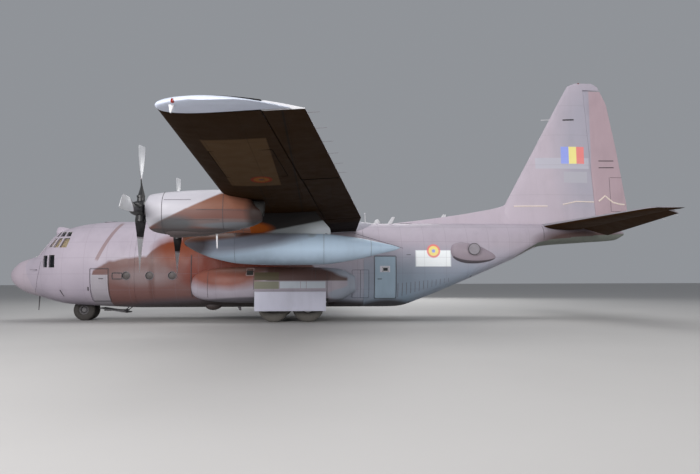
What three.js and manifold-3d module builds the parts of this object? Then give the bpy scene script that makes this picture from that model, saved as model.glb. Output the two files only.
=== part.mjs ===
// Half-scale model of a four-engine, high-wing military transport plane, parked on its gear.
// Every table and call below is in metres of the full-size aircraft. SCALE turns them into millimetres
// of the model. x runs aft from the nose tip, y to the right wing, z up from the ground.
import * as THREE from 'three';
import { mergeVertices } from 'three/addons/utils/BufferGeometryUtils.js';
import Module from 'manifold-3d';

const wasm = await Module();
wasm.setup();

const degrees = THREE.MathUtils.degToRad;

// Driving dimensions
const SCALE = 500;
const LENGTH_MIDDLE = 14.935;
const HALF_SPAN = 20.2;
const WALL = 0.14;
const TOUCH = 0.0007;
const CLEAR = 0.014;
const HINGE_GAP = 0.020;
const END_CLEAR = 0.045;
const FLOOR_TOP = 1.03;
const DECK_FOOT = 2.0;
const DECK_TOP = 2.08;
const HOLD_HALF_WIDTH = 1.51;

// Reaches of cutters: all of the aircraft, and a little past what a cutter cuts
const ALL_LENGTH = [0, 30];
const ALL_WIDTH = [-4, 4];
const ALL_HEIGHT = [-1, 7];
const SKY = ALL_HEIGHT[1];
const LAP = 0.1;

// Where the fuselage shells meet, aft of the nose
const RADOME_END = 1.05;
const FRONT_END = 6.35;
const CENTRE_END = 16.6;
const BODY_END = 29.6;
const CAVITY_START = 1.42;
const ENTRY_START = 4.37;
const CAVITY_END = 25.0;
const BODY_SIDES = 24;
const BODY_MIDDLE = 3;

// x, half width, bottom, widest height, top, power of the upper half, power of the lower half
const BODY = [
  [0.03, 0.08, 2.06, 2.14, 2.22, 2.0, 2.0],
  [0.17, 0.42, 1.73, 2.12, 2.46, 2.0, 2.0],
  [0.50, 0.78, 1.48, 2.10, 2.76, 2.0, 2.1],
  [1.05, 1.14, 1.23, 2.10, 2.95, 1.9, 2.2],
  [1.30, 1.27, 1.17, 2.12, 3.06, 1.75, 2.3],
  [1.75, 1.48, 1.05, 2.17, 3.54, 1.67, 2.4],
  [2.25, 1.68, 0.91, 2.25, 4.13, 1.84, 2.6],
  [2.96, 1.88, 0.77, 2.35, 4.40, 2.08, 2.8],
  [3.75, 2.02, 0.72, 2.45, 4.56, 2.1, 3.0],
  [4.90, 2.13, 0.66, 2.50, 4.66, 2.0, 3.0],
  [6.35, 2.16, 0.60, 2.50, 4.67, 2.0, 3.0],
  [18.2, 2.16, 0.60, 2.50, 4.58, 2.0, 3.5],
  [19.4, 2.10, 1.00, 2.62, 4.58, 2.3, 4.0],
  [21.5, 1.86, 1.85, 2.95, 4.57, 2.6, 4.0],
  [23.7, 1.48, 2.77, 3.50, 4.56, 2.6, 3.5],
  [25.4, 1.08, 3.50, 3.95, 4.55, 2.4, 2.8],
  [27.5, 0.62, 3.66, 4.08, 4.50, 2.0, 2.2],
  [29.1, 0.26, 3.78, 4.12, 4.42, 2.0, 2.0],
  [29.6, 0.05, 4.02, 4.10, 4.18, 2.0, 2.0],
];

// Materials: colour, roughness, metalness
const PAINT = { color: 0x9b9ba3, roughness: 0.6, metalness: 0.1 };
const DARK_PAINT = { color: 0x6f7278, roughness: 0.65, metalness: 0.1 };
const RUBBER = { color: 0x1b1b1c, roughness: 0.9, metalness: 0.0 };
const STEEL = { color: 0x8b8d90, roughness: 0.4, metalness: 0.8 };
const BLADE = { color: 0x77797c, roughness: 0.5, metalness: 0.4 };
const GLASS = { color: 0x1d2730, roughness: 0.08, metalness: 0.0 };
const CABIN = { color: 0x50554f, roughness: 0.8, metalness: 0.0 };

const aircraft = new THREE.Group();
aircraft.position.x = -LENGTH_MIDDLE * SCALE;

// Solids

function solidOf(geometry) {
  geometry.deleteAttribute('normal');
  geometry.deleteAttribute('uv');
  const merged = mergeVertices(geometry, 1e-3);
  return new wasm.Manifold(new wasm.Mesh({
    numProp: 3,
    vertProperties: new Float32Array(merged.attributes.position.array),
    triVerts: new Uint32Array(merged.index.array),
  }));
}

function flatTriangles(ring) {
  const corner = ring.map((p) => new THREE.Vector3(...p));
  const normal = new THREE.Vector3();
  corner.forEach((p, i) => normal.add(p.clone().cross(corner[(i + 1) % corner.length])));
  const size = [Math.abs(normal.x), Math.abs(normal.y), Math.abs(normal.z)];
  const drop = size.indexOf(Math.max(...size));
  const keep = [0, 1, 2].filter((axis) => axis !== drop);
  const contour = ring.map((p) => new THREE.Vector2(p[keep[0]], p[keep[1]]));
  const facing = Math.sign(normal.getComponent(drop)) * (drop === 1 ? -1 : 1);
  const faces = THREE.ShapeUtils.triangulateShape(contour, []);
  return faces.map(([a, b, c]) => {
    const turn = new THREE.Vector2().subVectors(contour[b], contour[a])
      .cross(new THREE.Vector2().subVectors(contour[c], contour[a]));
    return Math.sign(turn) === facing ? [a, b, c] : [a, c, b];
  });
}

// Closed skin through rings of equal point counts, each a flat outline in order. The two sides of the
// aircraft split their faces along mirrored diagonals, so that mirrored pieces fit them.
function loft(rings) {
  const count = rings[0].length;
  const last = rings.length - 1;
  const index = [];
  for (let i = 0; i < last; i += 1) {
    for (let k = 0; k < count; k += 1) {
      const a = i * count + k;
      const b = i * count + ((k + 1) % count);
      const next = (k + 1) % count;
      const side = rings[i][k][1] + rings[i][next][1] + rings[i + 1][k][1] + rings[i + 1][next][1];
      if (side < 0) index.push(a, b, b + count, a, b + count, a + count);
      else index.push(a, b, a + count, b, b + count, a + count);
    }
  }
  flatTriangles(rings[0]).forEach(([a, b, c]) => index.push(a, c, b));
  flatTriangles(rings[last]).forEach((face) => index.push(...face.map((k) => last * count + k)));
  const position = rings.flat(2).map((value) => value * SCALE);
  const volume = index.reduce((sum, _, i) => {
    if (i % 3) return sum;
    const [a, b, c] = [0, 1, 2].map((k) => new THREE.Vector3().fromArray(position, index[i + k] * 3));
    return sum + a.dot(b.cross(c));
  }, 0);
  if (volume < 0) index.reverse();
  const geometry = new THREE.BufferGeometry();
  geometry.setAttribute('position', new THREE.Float32BufferAttribute(position, 3));
  geometry.setIndex(index);
  return solidOf(geometry);
}

function box(x, y, z) {
  const geometry = new THREE.BoxGeometry(...[x, y, z].map(([low, high]) => (high - low) * SCALE));
  geometry.translate(...[x, y, z].map(([low, high]) => ((low + high) / 2) * SCALE));
  return solidOf(geometry);
}

function rod(from, to, radius, sides = 12) {
  const [a, b] = [from, to].map((p) => new THREE.Vector3(...p).multiplyScalar(SCALE));
  const along = b.clone().sub(a);
  const geometry = new THREE.CylinderGeometry(radius * SCALE, radius * SCALE, along.length(), sides);
  geometry.applyQuaternion(
    new THREE.Quaternion().setFromUnitVectors(new THREE.Vector3(0, 1, 0), along.clone().normalize()),
  );
  geometry.translate(...a.add(b).multiplyScalar(0.5).toArray());
  return solidOf(geometry);
}

// Turned piece about the line through centre, which runs along axis. The profile has [radius, along] pairs.
function turned(profile, centre, axis, sides) {
  const points = profile.map(([radius, along]) => new THREE.Vector2(radius * SCALE, along * SCALE));
  const geometry = new THREE.LatheGeometry(points, sides);
  geometry.applyQuaternion(
    new THREE.Quaternion().setFromUnitVectors(new THREE.Vector3(0, 1, 0), new THREE.Vector3(...axis)),
  );
  geometry.translate(...centre.map((value) => value * SCALE));
  const solid = solidOf(geometry);
  return solid.volume() > 0 ? solid : solidOf(flipped(geometry));
}

function flipped(geometry) {
  const turnedOver = geometry.clone();
  turnedOver.setIndex([...turnedOver.index.array].reverse());
  return turnedOver;
}

function union(solids) {
  return solids.reduce((sum, solid) => sum.add(solid));
}

function cut(solid, cutters) {
  return cutters.reduce((rest, cutter) => rest.subtract(cutter), solid);
}

function addPiece(name, solid, look, mirror = false) {
  const { vertProperties, triVerts } = solid.getMesh();
  const geometry = new THREE.BufferGeometry();
  geometry.setAttribute('position', new THREE.Float32BufferAttribute(vertProperties, 3));
  geometry.setIndex([...triVerts]);
  const mesh = new THREE.Mesh(geometry, new THREE.MeshStandardMaterial(look));
  mesh.name = name;
  if (mirror) mesh.scale.y = -1;
  aircraft.add(mesh);
}

// The left piece as it is, and the right one as its mirror image
function addPair(name, solid, look) {
  addPiece(`${name}_left`, solid, look);
  addPiece(`${name}_right`, solid, look, true);
}

// Values of a table at x, straight between its rows
function rowAt(table, x) {
  const after = Math.max(1, table.findIndex((row, i) => row[0] >= x || i === table.length - 1));
  const [low, high] = [table[after - 1], table[after]];
  const share = (x - low[0]) / (high[0] - low[0]);
  return low.map((value, i) => value + share * (high[i] - value));
}

// Oval of the given powers, wound about the x axis
function ovalRing(x, middle, halfWidth, bottom, widest, top, upper, lower, sides) {
  return Array.from({ length: sides }, (_, k) => {
    const angle = (2 * Math.PI * (k + 0.5)) / sides;
    const [c, s] = [Math.cos(angle), Math.sin(angle)];
    const power = 2 / (s > 0 ? upper : lower);
    const reach = s > 0 ? top - widest : widest - bottom;
    return [
      x,
      middle + halfWidth * Math.sign(c) * Math.abs(c) ** power,
      widest + reach * Math.sign(s) * Math.abs(s) ** power,
    ];
  });
}

// Fuselage

function bodyRing(x, inset) {
  const [, halfWidth, bottom, widest, top, upper, lower] = rowAt(BODY, x);
  return ovalRing(
    x, 0, halfWidth - inset, bottom + inset, widest, top - inset, upper, lower, BODY_SIDES,
  );
}

// The whole body in one loft for each inset, so that every shell and cutter shares its facets. The
// pointed ends are left off a body that is smaller than the skin.
const INSET_RANGE = [1, 28];
const bodySolids = new Map();
function bodySolid(inset) {
  const [start, end] = INSET_RANGE;
  const stations = BODY.map((row) => row[0]).filter((x) => inset <= 0 || (x > start && x < end));
  if (!bodySolids.has(inset)) bodySolids.set(inset, loft(stations.map((x) => bodyRing(x, inset))));
  return bodySolids.get(inset);
}

function bodyLoft(start, end, inset = 0) {
  return bodySolid(inset).intersect(box([start, end], ALL_WIDTH, ALL_HEIGHT));
}

// Half width of the skin at a place below the widest height
function skinHalfWidth(x, z) {
  const [, halfWidth, bottom, widest, top, upper, lower] = rowAt(BODY, x);
  const [share, power] = z > widest
    ? [(z - widest) / (top - widest), upper]
    : [(widest - z) / (widest - bottom), lower];
  return halfWidth * (1 - share ** power) ** (1 / power);
}

function skinTop(x, y) {
  const [, halfWidth, , widest, top, upper] = rowAt(BODY, x);
  return widest + (top - widest) * (1 - (Math.abs(y) / halfWidth) ** upper) ** (1 / upper);
}

// Cockpit panes. Side panes are x at the lower and upper edge, front and back, then the two heights.
const SIDE_PANES = [
  // low front, low back, high front, high back, low height, high height
  [2.14, 2.33, 2.02, 2.27, 2.46, 3.00],
  [2.42, 2.70, 2.36, 2.65, 2.45, 3.02],
  [2.20, 2.40, 2.43, 2.56, 3.42, 3.79],
  [2.47, 2.72, 2.66, 2.86, 3.38, 3.79],
  [2.84, 3.17, 2.94, 3.24, 3.37, 3.79],
  [2.43, 2.58, 2.44, 2.57, 3.89, 4.12],
  [2.68, 2.89, 2.68, 2.90, 3.88, 4.11],
  [3.00, 3.23, 2.97, 3.21, 3.88, 4.10],
];
const FRONT_PANES = [
  // inner y, outer y at the foot, outer y at the head, foot x, head x
  [0.04, 0.47, 0.42, 1.46, 2.04],
  [0.56, 1.00, 0.84, 1.62, 2.16],
];
const PANE_DEPTH = 0.30;
const GLASS_OUTSIDE = 0.085;
const GLASS_THICK = 0.04;
const GLASS_BAND = { x: [CAVITY_START, 3.62], z: [2.38, SKY] };

function paneCutter(corners) {
  const [a, b, c, d] = corners.map((p) => new THREE.Vector3(...p));
  const normal = c.clone().sub(a).cross(d.clone().sub(b)).normalize();
  return loft([-1, 1].map((side) => [a, b, c, d].map(
    (p) => p.clone().addScaledVector(normal, side * PANE_DEPTH).toArray(),
  )));
}

function paneCutters() {
  const sidePanes = SIDE_PANES.map(([lowFront, lowBack, highFront, highBack, low, high]) => [
    [lowFront, low], [lowBack, low], [highBack, high], [highFront, high],
  ].map(([x, z]) => [x, skinHalfWidth(x, z), z]));
  const frontPanes = FRONT_PANES.map(([inner, outerFoot, outerHead, foot, head]) => [
    [foot, inner], [foot, outerFoot], [head, outerHead], [head, inner],
  ].map(([x, y]) => [x, y, skinTop(x, y)]));
  const onBothSides = (corners) => [corners, corners.map(([x, y, z]) => [x, -y, z])];
  return [...sidePanes, ...frontPanes].flatMap(onBothSides).map(paneCutter);
}

// Round windows: x, height, radius, side
const PORTHOLES = [
  [6.00, 2.07, 0.17, -1],
  [7.03, 2.07, 0.17, -1],
  [8.03, 2.07, 0.17, -1],
  [7.03, 2.07, 0.17, 1],
  [8.03, 2.07, 0.17, 1],
];
const PORTHOLE_REACH = [1.6, 2.6];
function portholeCutters() {
  return PORTHOLES.map(([x, z, radius, side]) => {
    const [start, end] = PORTHOLE_REACH.map((y) => [x, side * y, z]);
    return rod(start, end, radius);
  });
}

// Doors in the shells: x, outward y and height ranges of each opening
const CREW_DOOR = { x: [4.4, 5.2], y: [-3, -1.28], z: [0.9, 2.38] };
const SIDE_DOOR = { x: [17.1, 18.05], y: [-3, -1.525], z: [1.0, 2.92] };
const shrunk = ([low, high], gap) => [low + gap, high - gap];

function doorSolid({ x, y, z }, gap) {
  const inside = bodyLoft(x[0] - 2 * LAP, x[1] + 2 * LAP, WALL);
  const panel = bodyLoft(x[0] - LAP, x[1] + LAP).subtract(inside);
  return panel.intersect(box(shrunk(x, gap), shrunk(y, gap), shrunk(z, gap)));
}

const mirroredRange = ([low, high]) => [-high, -low];

// Wheel wells, cut from the fuselage corner and the sponson
const WELL = { x: [11.85, 14.85], y: [-2.76, -1.7], z: [ALL_HEIGHT[0], 1.7] };
const WELL_LINER = { x: [11.71, 14.99], y: [-2.5, -1.56], z: [ALL_HEIGHT[0], 1.84] };
const NOSE_WELL = { x: [2.75, 4.23], y: [-0.66, 0.66], z: [ALL_HEIGHT[0], 1.8] };
const boxOf = ({ x, y, z }) => box(x, y, z);
const mirroredBox = ({ x, y, z }) => box(x, mirroredRange(y), z);

function frontShell() {
  const glassRoom = bodyLoft(...GLASS_BAND.x, GLASS_OUTSIDE - TOUCH)
    .intersect(box(GLASS_BAND.x, ALL_WIDTH, GLASS_BAND.z));
  const cockpit = bodyLoft(CAVITY_START, ENTRY_START + LAP, WALL)
    .intersect(box(ALL_LENGTH, ALL_WIDTH, [DECK_FOOT, SKY]));
  const entry = bodyLoft(ENTRY_START, FRONT_END + LAP, WALL)
    .intersect(box(ALL_LENGTH, ALL_WIDTH, [FLOOR_TOP, SKY]));
  return cut(bodyLoft(RADOME_END + TOUCH, FRONT_END - TOUCH), [
    cockpit, entry, glassRoom, boxOf(NOSE_WELL), boxOf(CREW_DOOR), ...paneCutters(), ...portholeCutters(),
  ]);
}

function cockpitGlazing() {
  const band = box(shrunk(GLASS_BAND.x, TOUCH), ALL_WIDTH, [GLASS_BAND.z[0] + TOUCH, GLASS_BAND.z[1]]);
  const [start, end] = GLASS_BAND.x;
  return bodyLoft(start, end, GLASS_OUTSIDE)
    .subtract(bodyLoft(start - LAP, end + LAP, GLASS_OUTSIDE + GLASS_THICK))
    .intersect(band);
}

// Deck with its two seats, panel, pedestal and low wall behind the crew, all standing a little into it
const DECK_LAP = DECK_TOP - 0.01;
const SEAT_PLACES = [-0.72, 0.72];
const SEAT_HALF = 0.26;
const SEAT_PARTS = [
  // cushion, back: x and z
  [[2.75, 3.25], [DECK_LAP, 2.52]],
  [[3.18, 3.30], [2.4, 3.35]],
];
const DECK_PARTS = [
  // floor, panel, pedestal, low wall: x, y and z
  [[1.6, 6.2], ALL_WIDTH, [DECK_FOOT + TOUCH, DECK_TOP]],
  [[1.75, 2.1], [-1.15, 1.15], [DECK_LAP, 2.8]],
  [[2.05, 2.7], [-0.2, 0.2], [DECK_LAP, 2.55]],
  [[6.1, 6.2], ALL_WIDTH, [DECK_LAP, 3.1]],
];
const STAIR_HOLE = { x: [4.3, 5.6], y: [ALL_WIDTH[0], -0.8], z: [1, SKY] };
function flightDeck() {
  const inside = bodyLoft(CAVITY_START, FRONT_END, WALL + TOUCH);
  const seats = SEAT_PLACES.flatMap((y) => SEAT_PARTS.map(
    ([x, z]) => box(x, [y - SEAT_HALF, y + SEAT_HALF], z),
  ));
  const pieces = union([...DECK_PARTS.map((ranges) => box(...ranges)), ...seats]);
  return pieces.subtract(boxOf(STAIR_HOLE)).intersect(inside);
}

// Fairing over the wing root: x, half width, top
const FAIRING = [
  [10.15, 0.50, 4.66],
  [10.70, 1.05, 4.78],
  [11.40, 1.50, 4.95],
  [12.40, 1.72, 5.06],
  [13.60, 1.72, 5.02],
  [15.00, 1.62, 4.86],
  [16.30, 1.38, 4.70],
  [17.05, 0.95, 4.62],
];
const FAIRING_BOTTOM = 3.7;
const FAIRING_POWER = 2.2;
function wingFairing() {
  return loft(FAIRING.map(([x, halfWidth, top]) => ovalRing(
    x, 0, halfWidth, FAIRING_BOTTOM, (FAIRING_BOTTOM + top) / 2, top, FAIRING_POWER, FAIRING_POWER, BODY_SIDES,
  )));
}

// The part of the fairing that belongs to a shell from start to end
function roof(start, end) {
  return wingFairing().intersect(box([start, end], ALL_WIDTH, [BODY_MIDDLE, SKY]));
}

function centreShell(wingRoom) {
  const hold = bodyLoft(FRONT_END - LAP, CENTRE_END + LAP, WALL);
  const linedHold = cut(hold, [boxOf(WELL_LINER), mirroredBox(WELL_LINER)]);
  const outside = bodyLoft(FRONT_END, CENTRE_END - TOUCH).add(roof(FRONT_END, CENTRE_END - TOUCH));
  return cut(outside, [linedHold, wingRoom, boxOf(WELL), mirroredBox(WELL), ...portholeCutters()]);
}

const FLOOR_END = 18.66;
function cargoFloor() {
  return bodyLoft(FRONT_END + TOUCH, FLOOR_END, WALL + TOUCH)
    .intersect(box(ALL_LENGTH, [-HOLD_HALF_WIDTH, HOLD_HALF_WIDTH], [0, FLOOR_TOP]));
}

// Ramp and aft cargo door. The line between them leans forward as it rises.
const RAMP_START = 18.7;
const RAMP_HALF_WIDTH = 1.53;
const RAMP_SPLIT = { x: 21.7, z: 1.93 };
const SPLIT_LEAN = 0.66;
const RAMP_THICK = 0.30;
const RAMP_TOP_END = 21.5;
const DOOR_END = 24.9;
const DOOR_END_HALF_WIDTH = 0.92;
const DOOR_TOP = 2.75;
const DOOR_WALL = 0.12;
const UNDER_SKIN = 0.3;
const splitX = (z) => RAMP_SPLIT.x - SPLIT_LEAN * (z - RAMP_SPLIT.z);

function rampRoom(gap) {
  const half = RAMP_HALF_WIDTH - gap;
  const under = (x) => rowAt(BODY, x)[2] - UNDER_SKIN;
  const over = (x) => rowAt(BODY, x)[2] + RAMP_THICK - gap;
  const outline = [
    [RAMP_START + gap, under(RAMP_START)],
    [splitX(under(RAMP_SPLIT.x)) - gap, under(RAMP_SPLIT.x)],
    [splitX(over(RAMP_TOP_END)) - gap, over(RAMP_TOP_END)],
    [RAMP_START + gap, over(RAMP_START)],
  ];
  return loft([-half, half].map((y) => outline.map(([x, z]) => [x, y, z])));
}

function aftDoorRoom(gap) {
  const halfAt = (x) => RAMP_HALF_WIDTH
    + ((x - RAMP_SPLIT.x) / (DOOR_END - RAMP_SPLIT.x)) * (DOOR_END_HALF_WIDTH - RAMP_HALF_WIDTH) - gap;
  const edge = (x, z, side) => [x, side * halfAt(x), z];
  const under = rowAt(BODY, RAMP_SPLIT.x)[2] - UNDER_SKIN;
  const end = DOOR_END - gap;
  const outline = [
    [splitX(under) + gap, under],
    [end, rowAt(BODY, end)[2] - UNDER_SKIN],
    [end, rowAt(BODY, end)[3] - LAP],
    [splitX(DOOR_TOP) + gap, DOOR_TOP],
  ];
  return loft([-1, 1].map((side) => outline.map(([x, z]) => edge(x, z, side))));
}

function rearShell(tailplaneRoom) {
  const hold = bodyLoft(CENTRE_END - LAP, CAVITY_END, WALL);
  return cut(bodyLoft(CENTRE_END, BODY_END).add(roof(CENTRE_END, BODY_END)), [
    hold, rampRoom(0), aftDoorRoom(0), boxOf(SIDE_DOOR), mirroredBox(SIDE_DOOR), tailplaneRoom,
  ]);
}

function cargoRamp() {
  return bodyLoft(RAMP_START, DOOR_END).intersect(rampRoom(CLEAR));
}

function cargoDoor() {
  const skin = bodyLoft(RAMP_START + LAP, BODY_END).subtract(bodyLoft(RAMP_START, BODY_END, DOOR_WALL));
  return skin.intersect(aftDoorRoom(CLEAR));
}

// Wing: straight dihedral from the middle, level chord to the joint, then a tapered panel
const WING = {
  joint: 5.59,
  rootChord: 4.88,
  tipChord: 2.62,
  frontRoot: 11.41,
  frontSlope: 0.0209,
  middleHeight: 4.25,
  rise: Math.tan(degrees(2.5)),
  rootTilt: degrees(3),
  rootThick: 0.18,
  tipThick: 0.12,
  camber: 0.02,
  hinge: 0.72,
};
const FOIL_STOPS = [1, 0.72, 0.5, 0.3, 0.14, 0.04, 0];
const FLAPS = { inner: [2.45, 5.59], outer: [5.59, 13.0], aileron: [13.0, 19.2] };
const TAIL_EDGE = 0.012;

// Half thickness of a four-digit section at share f of its chord, as a share of the whole thickness
const halfFoil = (f) => 5 * (0.2969 * Math.sqrt(f) - 0.126 * f - 0.3516 * f ** 2
  + 0.2843 * f ** 3 - 0.1015 * f ** 4);

function wingSection(span) {
  const y = Math.abs(span);
  const outward = Math.max(0, (y - WING.joint) / (HALF_SPAN - WING.joint));
  const share = y / HALF_SPAN;
  return {
    y: span,
    chord: WING.rootChord + outward * (WING.tipChord - WING.rootChord),
    front: WING.frontRoot + WING.frontSlope * Math.max(0, y - WING.joint),
    height: WING.middleHeight + y * WING.rise,
    tilt: WING.rootTilt * (1 - share),
    thick: WING.rootThick + share * (WING.tipThick - WING.rootThick),
  };
}

// Point at share f of the chord; side is 1 on top, -1 below and 0 half way
function foilPoint(s, f, side, grow = 0) {
  const camber = WING.camber * 4 * f * (1 - f) * s.chord;
  const half = halfFoil(f) * s.thick * s.chord;
  const lift = Math.sin(s.tilt) * (0.25 - f) * s.chord;
  return [s.front + f * s.chord, s.y, s.height + camber + lift + side * (half + grow)];
}

function foilRing(s, grow = 0) {
  const top = FOIL_STOPS.map((f) => foilPoint(s, f, 1, grow + (f === 1 ? TAIL_EDGE / 2 : 0)));
  const under = FOIL_STOPS.slice(0, -1).reverse()
    .map((f) => foilPoint(s, f, -1, grow + (f === 1 ? TAIL_EDGE / 2 : 0)));
  const ring = [...top, ...under];
  if (!grow) return ring;
  return ring.map(([x, y, z], k) => {
    if (k === 0 || k === ring.length - 1) return [x + grow, y, z];
    return k === FOIL_STOPS.length - 1 ? [x - grow, y, z] : [x, y, z];
  });
}

function wingLoft(spans, grow = 0) {
  return loft(spans.map((y) => foilRing(wingSection(y), grow)));
}

// Hinged surfaces are a round nose about the hinge line, then straight faces to the tail edge.
// place turns [along the chord, across it] at an end into a point.
const NOSE_STEPS = 6;
const SWING = { flap: degrees(15), aileron: degrees(28), rudder: degrees(38), elevator: degrees(43) };
function noseArc(hinge, radius, swing = 0) {
  return Array.from({ length: NOSE_STEPS + 1 }, (_, k) => {
    const angle = Math.PI / 2 + swing + ((Math.PI - 2 * swing) * k) / NOSE_STEPS;
    return [hinge[0] + radius * Math.cos(angle), hinge[1] + radius * Math.sin(angle)];
  });
}

function surfaceSolid(ends, place) {
  return loft(ends.map(({ at, hinge, radius, tail }) => [
    ...noseArc(hinge, radius),
    [tail[0], tail[1] - TAIL_EDGE / 2],
    [tail[0], tail[1] + TAIL_EDGE / 2],
  ].map((p) => place(p, at))));
}

// Room for a hinged surface and all behind its hinge line. Above and below the nose it opens
// forward as far as the faces swing.
const ROOM_HALF_HEIGHT = 1.2;
function surfaceRoom(ends, place, swing, reach = 4) {
  return loft(ends.map(({ at, hinge, radius }) => {
    const arc = noseArc(hinge, radius + HINGE_GAP, swing);
    return [
      [arc[0][0], hinge[1] + ROOM_HALF_HEIGHT],
      ...arc,
      [arc[0][0], hinge[1] - ROOM_HALF_HEIGHT],
      [hinge[0] + reach, hinge[1] - ROOM_HALF_HEIGHT],
      [hinge[0] + reach, hinge[1] + ROOM_HALF_HEIGHT],
    ].map((p) => place(p, at));
  }));
}

const onWing = ([x, z], y) => [x, y, z];

function wingSurfaceEnd(y) {
  const s = wingSection(y);
  const [x, , z] = foilPoint(s, WING.hinge, 0);
  const [tailX, , tailZ] = foilPoint(s, 1, 0);
  return { at: y, hinge: [x, z], radius: halfFoil(WING.hinge) * s.thick * s.chord, tail: [tailX, tailZ] };
}

// Left-hand surface between two distances from the middle, with room cut to the same ends
function wingSurface([inner, outer], swing) {
  const ends = (gap) => [-(outer - gap), -(inner + gap)].map(wingSurfaceEnd);
  return { solid: surfaceSolid(ends(END_CLEAR), onWing), room: surfaceRoom(ends(0), onWing, swing) };
}

const innerFlap = wingSurface(FLAPS.inner, SWING.flap);
const outerFlap = wingSurface(FLAPS.outer, SWING.flap);
const aileron = wingSurface(FLAPS.aileron, SWING.aileron);
const mirroredSolid = (solid) => solid.mirror([0, 1, 0]);

function wingCentre() {
  const end = WING.joint - TOUCH;
  const panel = wingLoft([-WING.joint, 0, WING.joint]).intersect(box(ALL_LENGTH, [-end, end], ALL_HEIGHT));
  return cut(panel, [innerFlap.room, mirroredSolid(innerFlap.room)]);
}

// Drooped tip cap past the aileron: distance from the middle, share of the chord cut off in front and
// behind, share of the thickness left, and how far the middle of the section drops
const TIP_CAP = [
  [19.2, 0, 0.10, 1, 0],
  [19.6, 0.03, 0.16, 0.78, 0.09],
  [19.95, 0.12, 0.24, 0.52, 0.15],
  [20.2, 0.30, 0.38, 0.25, 0.18],
];

function tipRing([y, front, back, thickness, drop]) {
  const s = wingSection(-y);
  return foilRing(s).map(([x, at, z]) => [
    s.front + front * s.chord + ((x - s.front) * (1 - front - back)),
    at,
    s.height - drop + (z - s.height) * thickness,
  ]);
}

function wingOuter() {
  const panel = wingLoft([-19.2, -13, -WING.joint]);
  const cap = loft(TIP_CAP.map(tipRing));
  return cut(panel, [outerFlap.room, aileron.room]).add(cap);
}

// Nacelles. Heights are from the propeller axis.
const ENGINES = [
  { name: 'outer', y: -10.2, z: 4.18 },
  { name: 'inner', y: -4.95, z: 3.95 },
];
const NACELLE = [
  // x, half width, bottom, top
  [9.045, 0.36, -0.40, 0.27],
  [9.07, 0.42, -0.50, 0.35],
  [9.12, 0.46, -0.61, 0.41],
  [9.18, 0.50, -0.70, 0.445],
  [9.36, 0.55, -0.775, 0.48],
  [9.80, 0.61, -0.84, 0.53],
  [10.8, 0.61, -0.85, 0.60],
  [11.7, 0.56, -0.74, 0.62],
  [12.5, 0.42, -0.57, 0.42],
  [12.8, 0.30, -0.38, 0.20],
];
const BAY = [
  [9.36, 0.37, -0.58, 0.33],
  [9.70, 0.46, -0.70, 0.39],
  [11.2, 0.45, -0.60, 0.47],
];
const SHAFT_RADIUS = 0.13;
const SHAFT_END = 9.54;
const HOLE = [9.0, 9.5];
const INTAKE = { half: 0.18, z: [-0.44, -0.28] };
const BLOCK = { x: [9.62, 11.2 - TOUCH], half: 0.3, below: 0.42, above: 0.18 };

const NACELLE_WIDEST = -0.1;
const NACELLE_POWERS = [2.2, 2.4];

function nacelleLoft(table, y, z, sides) {
  return loft(table.map(([x, halfWidth, bottom, top]) => ovalRing(
    x, y, halfWidth, z + bottom, z + NACELLE_WIDEST, z + top, ...NACELLE_POWERS, sides,
  )));
}

function nacelle({ y, z }, wingRoom) {
  const shaftHole = rod([HOLE[0], y, z], [HOLE[1], y, z], SHAFT_RADIUS + HINGE_GAP);
  const intake = box(HOLE, [y - INTAKE.half, y + INTAKE.half], INTAKE.z.map((height) => z + height));
  return cut(nacelleLoft(NACELLE, y, z, 20), [nacelleLoft(BAY, y, z, 12), shaftHole, intake, wingRoom]);
}

// The engine stands on the rear wall of its bay
function engineBlock({ y, z }) {
  return box(BLOCK.x, [y - BLOCK.half, y + BLOCK.half], [z - BLOCK.below, z + BLOCK.above]);
}

// Propeller: hub, spinner and four blades. Blade rows are radius, chord, thickness, angle from the disc.
const BLADE_ROWS = [
  [0.20, 0.30, 0.17, 62],
  [0.32, 0.34, 0.15, 58],
  [0.45, 0.37, 0.125, 48],
  [0.60, 0.38, 0.10, 34],
  [0.80, 0.40, 0.075, 20],
  [1.11, 0.43, 0.058, 6],
  [1.485, 0.45, 0.045, -4.5],
  [1.80, 0.435, 0.034, -11],
  [2.055, 0.38, 0.022, -14],
];
const BLADE_OUTLINE = [[-0.5, 0], [-0.28, 0.42], [0.12, 0.5], [0.5, 0], [0.12, -0.5], [-0.28, -0.42]];
const HUB_PROFILE = [[0, -0.38], [0.12, -0.35], [0.22, -0.24], [0.27, -0.06], [0.27, 0.12], [0, 0.12]];
const PROP_X = 8.885;

function bladeSolid({ y, z }, turn) {
  const rings = BLADE_ROWS.map(([radius, chord, thick, angle]) => {
    const pitch = degrees(angle);
    return BLADE_OUTLINE.map(([across, through]) => {
      const side = across * chord * Math.cos(pitch) + through * thick * Math.sin(pitch);
      const aft = through * thick * Math.cos(pitch) - across * chord * Math.sin(pitch);
      const place = new THREE.Vector3(aft, side, radius).applyAxisAngle(new THREE.Vector3(1, 0, 0), turn);
      return [PROP_X + place.x, y + place.y, z + place.z];
    });
  });
  return loft(rings);
}

function propeller(engine) {
  const hub = turned(HUB_PROFILE, [PROP_X, engine.y, engine.z], [1, 0, 0], 14);
  const shaft = rod([PROP_X, engine.y, engine.z], [SHAFT_END, engine.y, engine.z], SHAFT_RADIUS, 10);
  const blades = [0, 1, 2, 3].map((k) => bladeSolid(engine, (k * Math.PI) / 2));
  return union([hub, shaft, ...blades]);
}

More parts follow.
